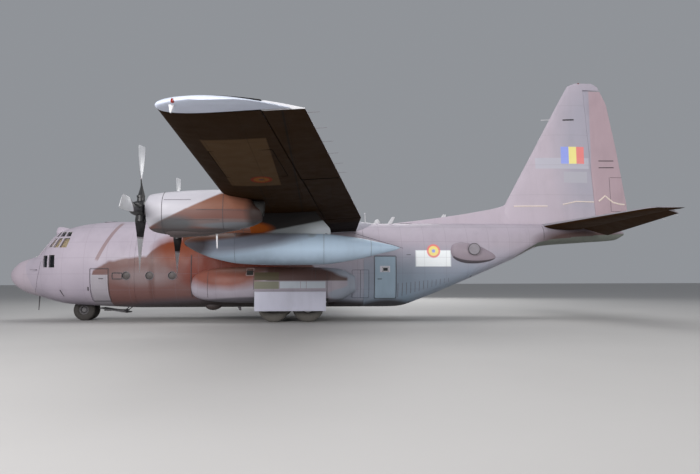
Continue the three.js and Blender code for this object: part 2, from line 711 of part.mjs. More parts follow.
// Drop tank: x, half width, bottom, top
const TANK_Y = -7.6;
const TANK = [
  [9.76, 0.03, 3.20, 3.26],
  [10.1, 0.27, 2.93, 3.42],
  [10.8, 0.45, 2.65, 3.54],
  [11.8, 0.565, 2.45, 3.58],
  [13.0, 0.585, 2.40, 3.57],
  [14.6, 0.57, 2.41, 3.55],
  [15.9, 0.42, 2.58, 3.42],
  [17.0, 0.18, 2.84, 3.20],
  [17.59, 0.03, 2.99, 3.05],
];
const PYLON = [[12.2, 3.3], [15.05, 3.3], [15.05, 3.72], [14.55, 4.3], [14.4, 4.5], [11.95, 4.5]];
const PYLON_HALF = 0.09;
function tank(wingRoom) {
  const body = loft(TANK.map(([x, halfWidth, bottom, top]) => ovalRing(
    x, TANK_Y, halfWidth, bottom, (bottom + top) / 2, top, 2, 2, 20,
  )));
  const pylon = loft([-PYLON_HALF, PYLON_HALF].map((side) => PYLON.map(([x, z]) => [x, TANK_Y + side, z])));
  return body.add(pylon.subtract(wingRoom));
}

// Fin, rudder and the long dorsal fillet: height, front, tail, thickness of the whole section
const FIN = [
  [4.40, 23.40, 29.84, 0.64],
  [5.42, 23.64, 29.83, 0.60],
  [8.34, 25.24, 29.36, 0.44],
  [10.61, 26.47, 28.93, 0.27],
  [11.50, 26.98, 28.50, 0.16],
  [11.66, 27.35, 28.20, 0.06],
];
const DORSAL = [
  // x, height, half thickness at the foot
  [18.14, 4.60, 0.05],
  [22.22, 5.17, 0.20],
  [23.67, 5.50, 0.26],
  [24.60, 6.60, 0.22],
];
const FILLET_FOOT = 4.2;
const FILLET_HALF_TOP = 0.03;
const RUDDER = { low: 4.74, high: 11.30, hingeLow: 28.30, hingeHigh: 27.79 };

function finRing([z, front, tail, thick]) {
  const chord = tail - front;
  const section = (f, side) => [front + f * chord, side * Math.max(halfFoil(f) * thick, TAIL_EDGE / 2), z];
  const stops = [1, 0.74, 0.5, 0.25, 0.08, 0];
  return [
    ...stops.slice(0, -1).map((f) => section(f, 1)),
    [front, 0, z],
    ...stops.slice(0, -1).reverse().map((f) => section(f, -1)),
  ];
}

function rudderEnd(z) {
  const [, front, tail, thick] = rowAt(FIN, z);
  const share = (z - RUDDER.low) / (RUDDER.high - RUDDER.low);
  const hinge = RUDDER.hingeLow + share * (RUDDER.hingeHigh - RUDDER.hingeLow);
  const radius = halfFoil((hinge - front) / (tail - front)) * thick;
  return { at: z, hinge: [hinge, 0], radius, tail: [tail, 0] };
}

const onFin = ([x, y], z) => [x, y, z];
const rudderHeights = [RUDDER.low + END_CLEAR, 5.42, 8.34, 10.61, RUDDER.high - END_CLEAR];

function rudder() {
  return surfaceSolid(rudderHeights.map(rudderEnd), onFin);
}

function fin(tailplaneRoom) {
  const blade = loft(FIN.map(finRing));
  const fillet = loft(DORSAL.map(([x, top, foot]) => [
    [x, -foot, FILLET_FOOT], [x, foot, FILLET_FOOT], [x, FILLET_HALF_TOP, top], [x, -FILLET_HALF_TOP, top],
  ]));
  const heights = [RUDDER.low - 0.6, 5.42, 8.34, 10.61, RUDDER.high];
  const room = surfaceRoom(heights.map(rudderEnd), onFin, SWING.rudder);
  return cut(blade.subtract(room).add(fillet), [bodyLoft(16, BODY_END, -TOUCH), tailplaneRoom]);
}

// Tailplane: distance from the middle, front, tail, hinge, height, thickness
const TAILPLANE = [
  [0, 25.18, 28.52, 27.25, 4.42, 0.40],
  [0.9, 25.39, 28.50, 27.30, 4.42, 0.38],
  [7.6, 26.94, 28.22, 27.80, 4.50, 0.17],
  [8.03, 27.15, 28.16, 27.85, 4.50, 0.10],
];
const ELEVATOR = [0.85, 7.6];
const ELEVATOR_DROOP = degrees(22);

function tailRing(y, grow = 0) {
  const [, front, tail, , height, thick] = rowAt(TAILPLANE, Math.abs(y));
  const chord = tail - front;
  const point = (f, side) => [
    front + f * chord + (f === 1 ? grow : 0),
    y,
    height + side * (Math.max(halfFoil(f) * thick, TAIL_EDGE / 2) + grow),
  ];
  const stops = [1, 0.62, 0.35, 0.12, 0.02];
  return [
    ...stops.map((f) => point(f, 1)), [front - grow, y, height], ...stops.map((f) => point(f, -1)).reverse(),
  ];
}

function elevatorEnd(y, droop) {
  const [, front, tail, hinge, height, thick] = rowAt(TAILPLANE, Math.abs(y));
  const share = (hinge - front) / (tail - front);
  const chord = tail - hinge;
  return {
    at: y,
    hinge: [hinge, height],
    radius: halfFoil(share) * thick,
    tail: [hinge + chord * Math.cos(droop), height - chord * Math.sin(droop)],
  };
}

// The faces leave the round nose square to the drooped chord
function droopedRing({ at, hinge, radius, tail }) {
  const turn = Math.atan2(hinge[1] - tail[1], tail[0] - hinge[0]);
  const turnAbout = ([x, z]) => [
    hinge[0] + (x - hinge[0]) * Math.cos(turn) + (z - hinge[1]) * Math.sin(turn),
    at,
    hinge[1] - (x - hinge[0]) * Math.sin(turn) + (z - hinge[1]) * Math.cos(turn),
  ];
  const reach = Math.hypot(tail[0] - hinge[0], tail[1] - hinge[1]);
  return [
    ...noseArc(hinge, radius),
    [hinge[0] + reach, hinge[1] - TAIL_EDGE / 2],
    [hinge[0] + reach, hinge[1] + TAIL_EDGE / 2],
  ].map(turnAbout);
}

function elevator() {
  const [inner, outer] = ELEVATOR;
  return loft([-(outer - END_CLEAR), -(inner + END_CLEAR)].map(
    (y) => droopedRing(elevatorEnd(y, ELEVATOR_DROOP)),
  ));
}

function tailplane() {
  const spans = [-8.03, -7.6, -0.9, 0, 0.9, 7.6, 8.03];
  const ends = [-ELEVATOR[1], -ELEVATOR[0]].map((y) => elevatorEnd(y, 0));
  const room = surfaceRoom(ends, onWing, SWING.elevator, 2);
  return cut(loft(spans.map((y) => tailRing(y))), [room, mirroredSolid(room)]);
}

function tailplaneRoomSolid() {
  return loft([-2, -0.9, 0, 0.9, 2].map((y) => tailRing(y, TOUCH)));
}

// Sponson: x, outermost y, bottom, top
const SPONSON = [
  [8.9, 2.30, 1.25, 1.95],
  [9.3, 2.56, 1.02, 2.25],
  [10.2, 2.82, 0.88, 2.42],
  [11.5, 2.90, 0.84, 2.46],
  [14.95, 2.90, 0.84, 2.42],
  [15.6, 2.70, 0.98, 2.34],
  [16.2, 2.34, 1.35, 2.05],
];
const SPONSON_MIDDLE = 2.0;
const SPONSON_POWER = 2.6;

function sponson() {
  const powers = [SPONSON_POWER, SPONSON_POWER];
  const shape = loft(SPONSON.map(([x, outer, bottom, top]) => ovalRing(
    x, -SPONSON_MIDDLE, outer - SPONSON_MIDDLE, bottom, (bottom + top) / 2, top, ...powers, 20,
  )));
  return cut(shape, [bodyLoft(...ALL_LENGTH, -TOUCH), boxOf(WELL)]);
}

// Main gear door: a plate that bulges outward a little between its top and bottom edges
const MAIN_DOOR = { x: [11.78, 14.89], z: [1.36, 1.15, 0.95, 0.72, 0.51], y: -2.94, bulge: 0.03, thick: 0.05 };
function mainGearDoor() {
  const { x: ends, z: stations, y, bulge, thick } = MAIN_DOOR;
  const [top, bottom] = [stations[0], stations[stations.length - 1]];
  const inner = (z) => y - bulge * Math.sin(((top - z) / (top - bottom)) * Math.PI);
  return loft(ends.map((x) => [
    ...stations.map((z) => [x, inner(z) - thick, z]),
    ...stations.slice().reverse().map((z) => [x, inner(z), z]),
  ]));
}

// Main gear: one strut and wheel ahead of the other on each side
const MAIN_WHEEL = { x: [12.57, 14.09], y: -2.175, radius: 0.71, halfWidth: 0.25, rim: 0.27, sides: 18 };
const MAIN_LEG = { y: -1.815, radius: 0.075, axle: 0.06, foot: 0.08, axleEnd: -2.36 };
const MAIN_BEAM = { half: 0.05, z: [1.44, 1.58] };

function mainLeg() {
  const { y, radius, axle, foot, axleEnd } = MAIN_LEG;
  const height = MAIN_WHEEL.radius;
  const top = WELL.z[1] - TOUCH;
  const struts = MAIN_WHEEL.x.map((x) => rod([x, y, height - foot], [x, y, top], radius));
  const axles = MAIN_WHEEL.x.map((x) => rod([x, y, height], [x, axleEnd, height], axle));
  const beam = box(MAIN_WHEEL.x, [y - MAIN_BEAM.half, y + MAIN_BEAM.half], MAIN_BEAM.z);
  return union([...struts, ...axles, beam]);
}

// Wheel with a chamfered rim and a sunk outer face round its bore
const RIM_CHAMFER = 0.03;
const HUB_WALL = 0.08;
const HUB_FACE = 0.5;
function wheelProfile(bore, rim, half) {
  const outside = rim - TOUCH;
  return [
    [bore, -half], [rim - RIM_CHAMFER, -half], [outside, RIM_CHAMFER - half],
    [outside, half - RIM_CHAMFER], [rim - RIM_CHAMFER, half], [bore + HUB_WALL, half],
    [bore + HUB_WALL, half * HUB_FACE], [bore, half * HUB_FACE], [bore, -half],
  ];
}

// Half of a tyre's cross-section: distance out from the rim or in from the tread, share of the half width
const TYRE_FOOT = 0.72;
const TYRE_SIDE = { out: 0.12, share: 1 };
const TYRE_SHOULDER = { down: 0.09, share: 0.96 };
const TYRE_TREAD = 0.6;
function tyreProfile(rim, radius, half) {
  const outward = [
    [rim, half * TYRE_FOOT],
    [rim + TYRE_SIDE.out, half * TYRE_SIDE.share],
    [radius - TYRE_SHOULDER.down, half * TYRE_SHOULDER.share],
    [radius, half * TYRE_TREAD],
  ];
  const inward = outward.map(([across, along]) => [across, -along]);
  return [...inward, ...outward.slice().reverse(), inward[0]];
}

const outwardAxis = [0, -1, 0];

// Nose gear: fixed cylinder, steered piston with its boss, and a pair of wheels on one axle
const NOSE_WHEEL = { x: 3.56, y: 0.28, radius: 0.495, halfWidth: 0.165, rim: 0.21, sides: 18 };
const NOSE_AXLE = 0.045;
const NOSE_LEG_FOOT = 0.98;
const NOSE_LEG = { cylinder: 0.10, piston: 0.07 };
const NOSE_BRACE = { from: [3.61, 0, 1.15], to: [4.06, 0, 1.7], radius: 0.045 };
const NOSE_BOSS = { half: 0.09, radius: 0.11 };

function noseLeg() {
  const { x } = NOSE_WHEEL;
  const cylinder = rod([x, 0, NOSE_LEG_FOOT], [x, 0, NOSE_WELL.z[1] - TOUCH], NOSE_LEG.cylinder);
  const brace = rod(NOSE_BRACE.from, NOSE_BRACE.to, NOSE_BRACE.radius, 10);
  return cylinder.add(brace);
}

function noseSteering() {
  const { x, radius } = NOSE_WHEEL;
  const across = (half) => [[x, -half, radius], [x, half, radius]];
  const piston = rod([x, 0, radius], [x, 0, NOSE_LEG_FOOT - CLEAR], NOSE_LEG.piston);
  const boss = rod(...across(NOSE_BOSS.half), NOSE_BOSS.radius);
  return union([piston, boss]).subtract(rod(...across(NOSE_BOSS.half + LAP), NOSE_AXLE + CLEAR));
}

// Rims: share of the tyre's width, radius of the sunk hub, and its height as a share of the rim's
const NOSE_RIM = { share: 0.8, hub: 0.09, face: 0.4 };
function noseWheels() {
  const { x, y, radius, rim, halfWidth, sides } = NOSE_WHEEL;
  const half = halfWidth * NOSE_RIM.share;
  const face = half * NOSE_RIM.face;
  const profile = [
    [0, -half], [rim - TOUCH, -half], [rim - TOUCH, half],
    [NOSE_RIM.hub, half], [NOSE_RIM.hub, face], [0, face],
  ];
  const rims = [-1, 1].map((side) => turned(profile, [x, side * y, radius], [0, side, 0], sides));
  return union([...rims, rod([x, -y, radius], [x, y, radius], NOSE_AXLE)]);
}

function noseTyre(side) {
  const { x, y, radius, rim, halfWidth, sides } = NOSE_WHEEL;
  return turned(tyreProfile(rim, radius, halfWidth), [x, side * y, radius], outwardAxis, sides);
}

// Nose gear door, hanging open behind the wheels on two arms
const NOSE_DOOR = { half: 0.42, outline: [[4.27, 0.55], [5.55, 0.34], [5.56, 0.39], [4.28, 0.60]] };
const DOOR_ARM = { y: 0.3, foot: [5.35, 0.41], head: 5.62, radius: 0.02, gap: 0.01 };
function noseGearDoor() {
  const plate = loft([-NOSE_DOOR.half, NOSE_DOOR.half].map(
    (y) => NOSE_DOOR.outline.map(([x, z]) => [x, y, z]),
  ));
  const arms = [-DOOR_ARM.y, DOOR_ARM.y].map((y) => {
    const head = [DOOR_ARM.head, y, skinBottom(DOOR_ARM.head, y) - DOOR_ARM.gap];
    return rod([DOOR_ARM.foot[0], y, DOOR_ARM.foot[1]], head, DOOR_ARM.radius, 8);
  });
  return union([plate, ...arms]);
}

function skinBottom(x, y) {
  const [, halfWidth, bottom, widest, , , lower] = rowAt(BODY, x);
  return widest - (widest - bottom) * (1 - (Math.abs(y) / halfWidth) ** lower) ** (1 / lower);
}

// Assembly

const wingRoom = wingLoft([-19.2, -13, -WING.joint, 0, WING.joint], TOUCH);
const tailplaneRoom = tailplaneRoomSolid();

addPiece('radome', bodyLoft(0.03, RADOME_END), PAINT);
addPiece('fuselage_front', frontShell(), PAINT);
addPiece('fuselage_centre', centreShell(wingRoom), PAINT);
addPiece('fuselage_rear', rearShell(tailplaneRoom), PAINT);
addPiece('cockpit_glazing', cockpitGlazing(), GLASS);
addPiece('flight_deck', flightDeck(), CABIN);
addPiece('cargo_floor', cargoFloor(), CABIN);
addPiece('crew_door', doorSolid(CREW_DOOR, CLEAR), PAINT);
addPair('side_door', doorSolid(SIDE_DOOR, TOUCH), PAINT);
addPiece('cargo_ramp', cargoRamp(), PAINT);
addPiece('cargo_door', cargoDoor(), PAINT);
addPiece('wing_centre', wingCentre(), PAINT);
addPair('wing_outer', wingOuter(), PAINT);
addPair('flap_inner', innerFlap.solid, PAINT);
addPair('flap_outer', outerFlap.solid, PAINT);
addPair('aileron', aileron.solid, PAINT);
ENGINES.forEach((engine) => {
  addPair(`nacelle_${engine.name}`, nacelle(engine, wingRoom), PAINT);
  addPair(`engine_${engine.name}`, engineBlock(engine), STEEL);
  [-1, 1].forEach((side) => {
    const name = `propeller_${engine.name}_${side < 0 ? 'left' : 'right'}`;
    addPiece(name, propeller({ y: -side * engine.y, z: engine.z }), BLADE);
  });
});
addPair('tank', tank(wingRoom), PAINT);
addPiece('fin', fin(tailplaneRoom), PAINT);
addPiece('rudder', rudder(), PAINT);
addPiece('tailplane', tailplane(), PAINT);
addPair('elevator', elevator(), PAINT);
addPair('sponson', sponson(), PAINT);
addPair('main_gear_door', mainGearDoor(), PAINT);
addPair('main_leg', mainLeg(), STEEL);
['front', 'rear'].forEach((place, i) => {
  const { x, y, radius, rim, halfWidth, sides } = MAIN_WHEEL;
  const centre = [x[i], y, radius];
  addPair(`main_wheel_${place}`, turned(
    wheelProfile(MAIN_LEG.axle + CLEAR, rim, halfWidth * 0.85), centre, outwardAxis, sides,
  ), DARK_PAINT);
  const tyre = turned(tyreProfile(rim, radius, halfWidth), centre, outwardAxis, sides);
  addPair(`main_tyre_${place}`, tyre, RUBBER);
});
addPiece('nose_leg', noseLeg(), STEEL);
addPiece('nose_steering', noseSteering(), STEEL);
addPiece('nose_wheels', noseWheels(), DARK_PAINT);
addPiece('nose_tyre_left', noseTyre(-1), RUBBER);
addPiece('nose_tyre_right', noseTyre(1), RUBBER);
addPiece('nose_gear_door', noseGearDoor(), PAINT);

export default aircraft;
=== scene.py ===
"""Looks of a half-scale model of a four-engine, high-wing military transport plane.

Tables and places are in metres of the full-size aircraft, as in the part: x runs aft from the nose tip,
y to the right wing, z up from the ground. to_model turns them into metres of the model.
"""
import math
from typing import NamedTuple

import bmesh
import bpy
import numpy as np
from mathutils import Matrix, Vector


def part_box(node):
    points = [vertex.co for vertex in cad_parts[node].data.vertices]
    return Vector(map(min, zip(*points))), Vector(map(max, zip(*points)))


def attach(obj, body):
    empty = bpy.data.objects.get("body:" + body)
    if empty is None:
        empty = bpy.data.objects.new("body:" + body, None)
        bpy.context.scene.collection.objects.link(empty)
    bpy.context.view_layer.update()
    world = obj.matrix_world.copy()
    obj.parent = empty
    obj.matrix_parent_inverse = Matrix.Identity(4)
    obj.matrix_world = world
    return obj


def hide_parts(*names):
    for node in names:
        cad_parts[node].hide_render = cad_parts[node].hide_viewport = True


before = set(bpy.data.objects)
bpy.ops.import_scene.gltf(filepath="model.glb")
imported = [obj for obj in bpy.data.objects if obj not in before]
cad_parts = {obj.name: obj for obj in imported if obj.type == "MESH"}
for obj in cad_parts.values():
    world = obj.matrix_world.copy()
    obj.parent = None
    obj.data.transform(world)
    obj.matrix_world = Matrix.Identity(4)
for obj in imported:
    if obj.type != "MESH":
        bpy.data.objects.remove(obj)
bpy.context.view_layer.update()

SCALE = 0.5
LENGTH_MIDDLE = 14.935
PI = math.pi

# Fuselage: x, half width, bottom, widest height, top, power of the upper half, power of the lower half
BODY = np.array([
    [0.00, 0.01, 2.12, 2.14, 2.16, 2.0, 2.0],
    [0.05, 0.20, 1.94, 2.13, 2.33, 2.0, 2.0],
    [0.17, 0.42, 1.73, 2.12, 2.46, 2.0, 2.0],
    [0.50, 0.79, 1.48, 2.10, 2.76, 2.0, 2.1],
    [1.05, 1.15, 1.23, 2.10, 2.95, 1.9, 2.2],
    [1.30, 1.28, 1.17, 2.12, 3.055, 1.75, 2.3],
    [1.75, 1.49, 1.05, 2.17, 3.545, 1.67, 2.4],
    [2.25, 1.69, 0.91, 2.25, 4.135, 1.84, 2.6],
    [2.96, 1.89, 0.77, 2.35, 4.40, 2.08, 2.8],
    [3.75, 2.02, 0.72, 2.45, 4.56, 2.1, 3.0],
    [4.90, 2.13, 0.66, 2.50, 4.66, 2.0, 3.0],
    [6.35, 2.16, 0.60, 2.50, 4.67, 2.0, 3.0],
    [12.0, 2.16, 0.60, 2.50, 4.64, 2.0, 3.2],
    [17.6, 2.16, 0.60, 2.50, 4.59, 2.0, 3.4],
    [18.2, 2.16, 0.62, 2.50, 4.58, 2.0, 3.5],
    [19.4, 2.10, 1.00, 2.62, 4.58, 2.3, 4.0],
    [21.5, 1.86, 1.85, 2.95, 4.57, 2.6, 4.0],
    [23.7, 1.48, 2.77, 3.50, 4.56, 2.6, 3.5],
    [25.4, 1.08, 3.50, 3.95, 4.55, 2.4, 2.8],
    [27.5, 0.62, 3.66, 4.08, 4.50, 2.0, 2.2],
    [29.1, 0.26, 3.78, 4.12, 4.42, 2.0, 2.0],
    [29.6, 0.05, 4.02, 4.10, 4.18, 2.0, 2.0],
])
RADOME_END = 1.05
FRONT_END = 6.35
CENTRE_END = 16.6
BODY_END = 29.6
WALL = 0.14
SEAM = 0.004
SIDES = ((-1, "left"), (1, "right"))


def to_model(points):
    """Full-size metres to metres of the model, in the frame's axes."""
    points = np.asarray(points, float)
    return (points - np.array([LENGTH_MIDDLE, 0, 0])) * SCALE


# Shapes are (points, faces) pairs


def merge(*shapes):
    points, faces, start = [], [], 0
    for some_points, some_faces in shapes:
        points.append(np.asarray(some_points, float).reshape(-1, 3))
        faces += [tuple(i + start for i in face) for face in some_faces]
        start += len(points[-1])
    return np.concatenate(points), faces


def mirrored(shape):
    """The same shape on the other side of the aircraft."""
    points, faces = shape
    return np.asarray(points) * [1, -1, 1], [tuple(reversed(face)) for face in faces]


def both_sides(shape):
    return merge(shape, mirrored(shape))


def sided(shape, side):
    """A left-hand shape as it is, or mirrored for the right side."""
    return shape if side < 0 else mirrored(shape)


def points_at(x, y, z):
    """Rows of x, y and z, of which some may be single numbers."""
    return np.column_stack(np.broadcast_arrays(x, y, z))


def loft(rings, caps=True, closed=True):
    """Skin through rings of equal point counts."""
    rings = np.asarray(rings, float)
    count, sides = rings.shape[:2]
    last = sides if closed else sides - 1
    faces = [
        (i * sides + k, i * sides + (k + 1) % sides, (i + 1) * sides + (k + 1) % sides, (i + 1) * sides + k)
        for i in range(count - 1) for k in range(last)
    ]
    if caps:
        faces += [tuple(range(sides))[::-1], tuple((count - 1) * sides + k for k in range(sides))]
    return rings.reshape(-1, 3), faces


def box(x, y, z):
    corners = [(i, j, k) for i in x for j in y for k in z]
    return corners, [(0, 1, 3, 2), (4, 6, 7, 5), (0, 4, 5, 1), (2, 3, 7, 6), (0, 2, 6, 4), (1, 5, 7, 3)]


def across(axis):
    """Two unit vectors square to an axis and to each other."""
    axis = np.asarray(axis, float) / np.linalg.norm(axis)
    first = np.cross(axis, [0, 0, 1] if abs(axis[2]) < 0.9 else [1, 0, 0])
    first /= np.linalg.norm(first)
    return first, np.cross(axis, first)


def turned(profile, centre, axis, sides=40):
    """Profile of (radius, along) pairs turned about the line through centre along axis."""
    axis = np.asarray(axis, float) / np.linalg.norm(axis)
    first, second = across(axis)
    angles = np.linspace(0, 2 * PI, sides, endpoint=False)
    spokes = np.cos(angles)[:, None] * first + np.sin(angles)[:, None] * second
    rings = [np.asarray(centre) + axis * along + spokes * max(radius, 1e-4) for radius, along in profile]
    return loft(rings)


def rod(start, end, radius, end_radius=None, sides=16):
    """Round bar between two points, tapered where the second radius differs."""
    start, end = np.asarray(start, float), np.asarray(end, float)
    length = np.linalg.norm(end - start)
    profile = [(radius, 0), (radius if end_radius is None else end_radius, length)]
    return turned(profile, start, end - start, sides)


def pipe(points, radius, sides=10):
    """Tube along a line of points."""
    points = np.asarray(points, float)
    ahead = np.gradient(points, axis=0)
    first = across(ahead[0])[0]
    angles = np.linspace(0, 2 * PI, sides, endpoint=False)
    rings = []
    for point, way in zip(points, ahead):
        way = way / np.linalg.norm(way)
        first = first - way * first.dot(way)
        first /= np.linalg.norm(first)
        second = np.cross(way, first)
        rings.append(point + radius * (np.cos(angles)[:, None] * first + np.sin(angles)[:, None] * second))
    return loft(rings)


def smooth_rows(table, places):
    """Values of a table at places along its first column, on a curve that doesn't overshoot its rows."""
    x, values = table[:, 0], table[:, 1:]
    step = np.diff(x)[:, None]
    slope = np.diff(values, axis=0) / step
    tangent = np.zeros_like(values)
    tangent[0], tangent[-1] = slope[0], slope[-1]
    same_way = slope[:-1] * slope[1:] > 0
    mean = 2 * slope[:-1] * slope[1:] / np.where(same_way, slope[:-1] + slope[1:], 1)
    tangent[1:-1] = np.where(same_way, mean, 0)
    k = np.clip(np.searchsorted(x, places, side="right") - 1, 0, len(x) - 2)
    t = ((np.asarray(places) - x[k]) / step[k, 0])[:, None]
    start, end = values[k], values[k + 1]
    return (
        (2 * t**3 - 3 * t**2 + 1) * start + (t**3 - 2 * t**2 + t) * step[k] * tangent[k]
        + (3 * t**2 - 2 * t**3) * end + (t**3 - t**2) * step[k] * tangent[k + 1]
    )


def oval(x, middle, half_width, bottom, widest, top, upper, lower, angles):
    """Points of an oval of the given powers, square to the x axis."""
    c, s = np.cos(angles), np.sin(angles)
    power = np.where(s > 0, 2 / upper, 2 / lower)
    reach = np.where(s > 0, top - widest, widest - bottom)
    y = middle + half_width * np.sign(c) * np.abs(c) ** power
    return points_at(x, y, widest + reach * np.sign(s) * np.abs(s) ** power)


def full_turn(sides):
    return (np.arange(sides) + 0.5) * 2 * PI / sides


def body_rings(stations, inset=0.0, angles=full_turn(96)):
    rows = smooth_rows(BODY, stations)
    return [
        oval(x, 0, w - inset, low + inset, wide, top - inset, upper, lower, angles)
        for x, (w, low, wide, top, upper, lower) in zip(stations, rows)
    ]


def skin_y(x, z, lift=0.0):
    """Distance of the fuselage skin from the middle at a height."""
    w, low, wide, top, upper, lower = smooth_rows(BODY, [x])[0]
    share, power = ((z - wide) / (top - wide), upper) if z > wide else ((wide - z) / (wide - low), lower)
    return w * max(0.0, 1 - min(1.0, share) ** power) ** (1 / power) + lift


def skin_z(x, y, above=True):
    """Height of the fuselage skin at a distance from the middle."""
    w, low, wide, top, upper, lower = smooth_rows(BODY, [x])[0]
    share, power, reach = (abs(y) / w, upper, top - wide) if above else (abs(y) / w, lower, low - wide)
    return wide + reach * max(0.0, 1 - min(1.0, share) ** power) ** (1 / power)


# Making objects


def mesh_object(name, shape):
    points, faces = shape
    mesh = bpy.data.meshes.new(name)
    mesh.from_pydata(to_model(points).tolist(), [], faces)
    shaped = bmesh.new()
    shaped.from_mesh(mesh)
    bmesh.ops.recalc_face_normals(shaped, faces=shaped.faces)
    shaped.to_mesh(mesh)
    shaped.free()
    item = bpy.data.objects.new(name, mesh)
    bpy.context.scene.collection.objects.link(item)
    return item


def apply_modifiers(item):
    graph = bpy.context.evaluated_depsgraph_get()
    final = bpy.data.meshes.new_from_object(item.evaluated_get(graph))
    item.modifiers.clear()
    item.data = final


def carved(item, operation, shape):
    """Cuts item with a shape, or keeps what the two share."""
    cutter = mesh_object("cutter", shape)
    change = item.modifiers.new("cut", "BOOLEAN")
    change.operation = operation
    change.solver = "EXACT"
    change.use_self = operation == "DIFFERENCE"
    change.object = cutter
    apply_modifiers(item)
    bpy.data.objects.remove(cutter)


def piece(name, shape, look, body="root", slot="paint", replaces=(), cut=None, keep=None,
          bevel=0.0, sharp=35.0, others=()):
    """One finished object of the scene, from a shape, its material and the body that it rides on.
    others are more materials, each with the test of a face's centre and normal that picks its faces."""
    item = mesh_object(name, shape)
    if keep is not None:
        carved(item, "INTERSECT", keep)
    if cut is not None:
        carved(item, "DIFFERENCE", cut)
    if bevel:
        change = item.modifiers.new("bevel", "BEVEL")
        change.width = bevel * SCALE
        change.segments = 2
        change.limit_method = "ANGLE"
        change.angle_limit = math.radians(sharp)
        apply_modifiers(item)
    mesh = item.data
    mesh.validate()
    mesh.materials.clear()
    mesh.materials.append(look)
    for other, test in others:
        mesh.materials.append(other)
        for face in mesh.polygons:
            if test(face.center, face.normal):
                face.material_index = len(mesh.materials) - 1
    mesh.shade_smooth()
    mesh.set_sharp_from_angle(angle=math.radians(sharp))
    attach(item, body)
    if replaces:
        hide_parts(*replaces)


def pair(name, shape, look, body=None, replaces=None, **more):
    """A left-hand piece and its mirror image. Their bodies and nodes end in left and right too."""
    for side, word in SIDES:
        ridden = f"{body}_{word}" if body else "root"
        nodes = [f"{replaces}_{word}"] if replaces else []
        piece(f"{name}_{word}", sided(shape, side), look, body=ridden, replaces=nodes, **more)


# Materials


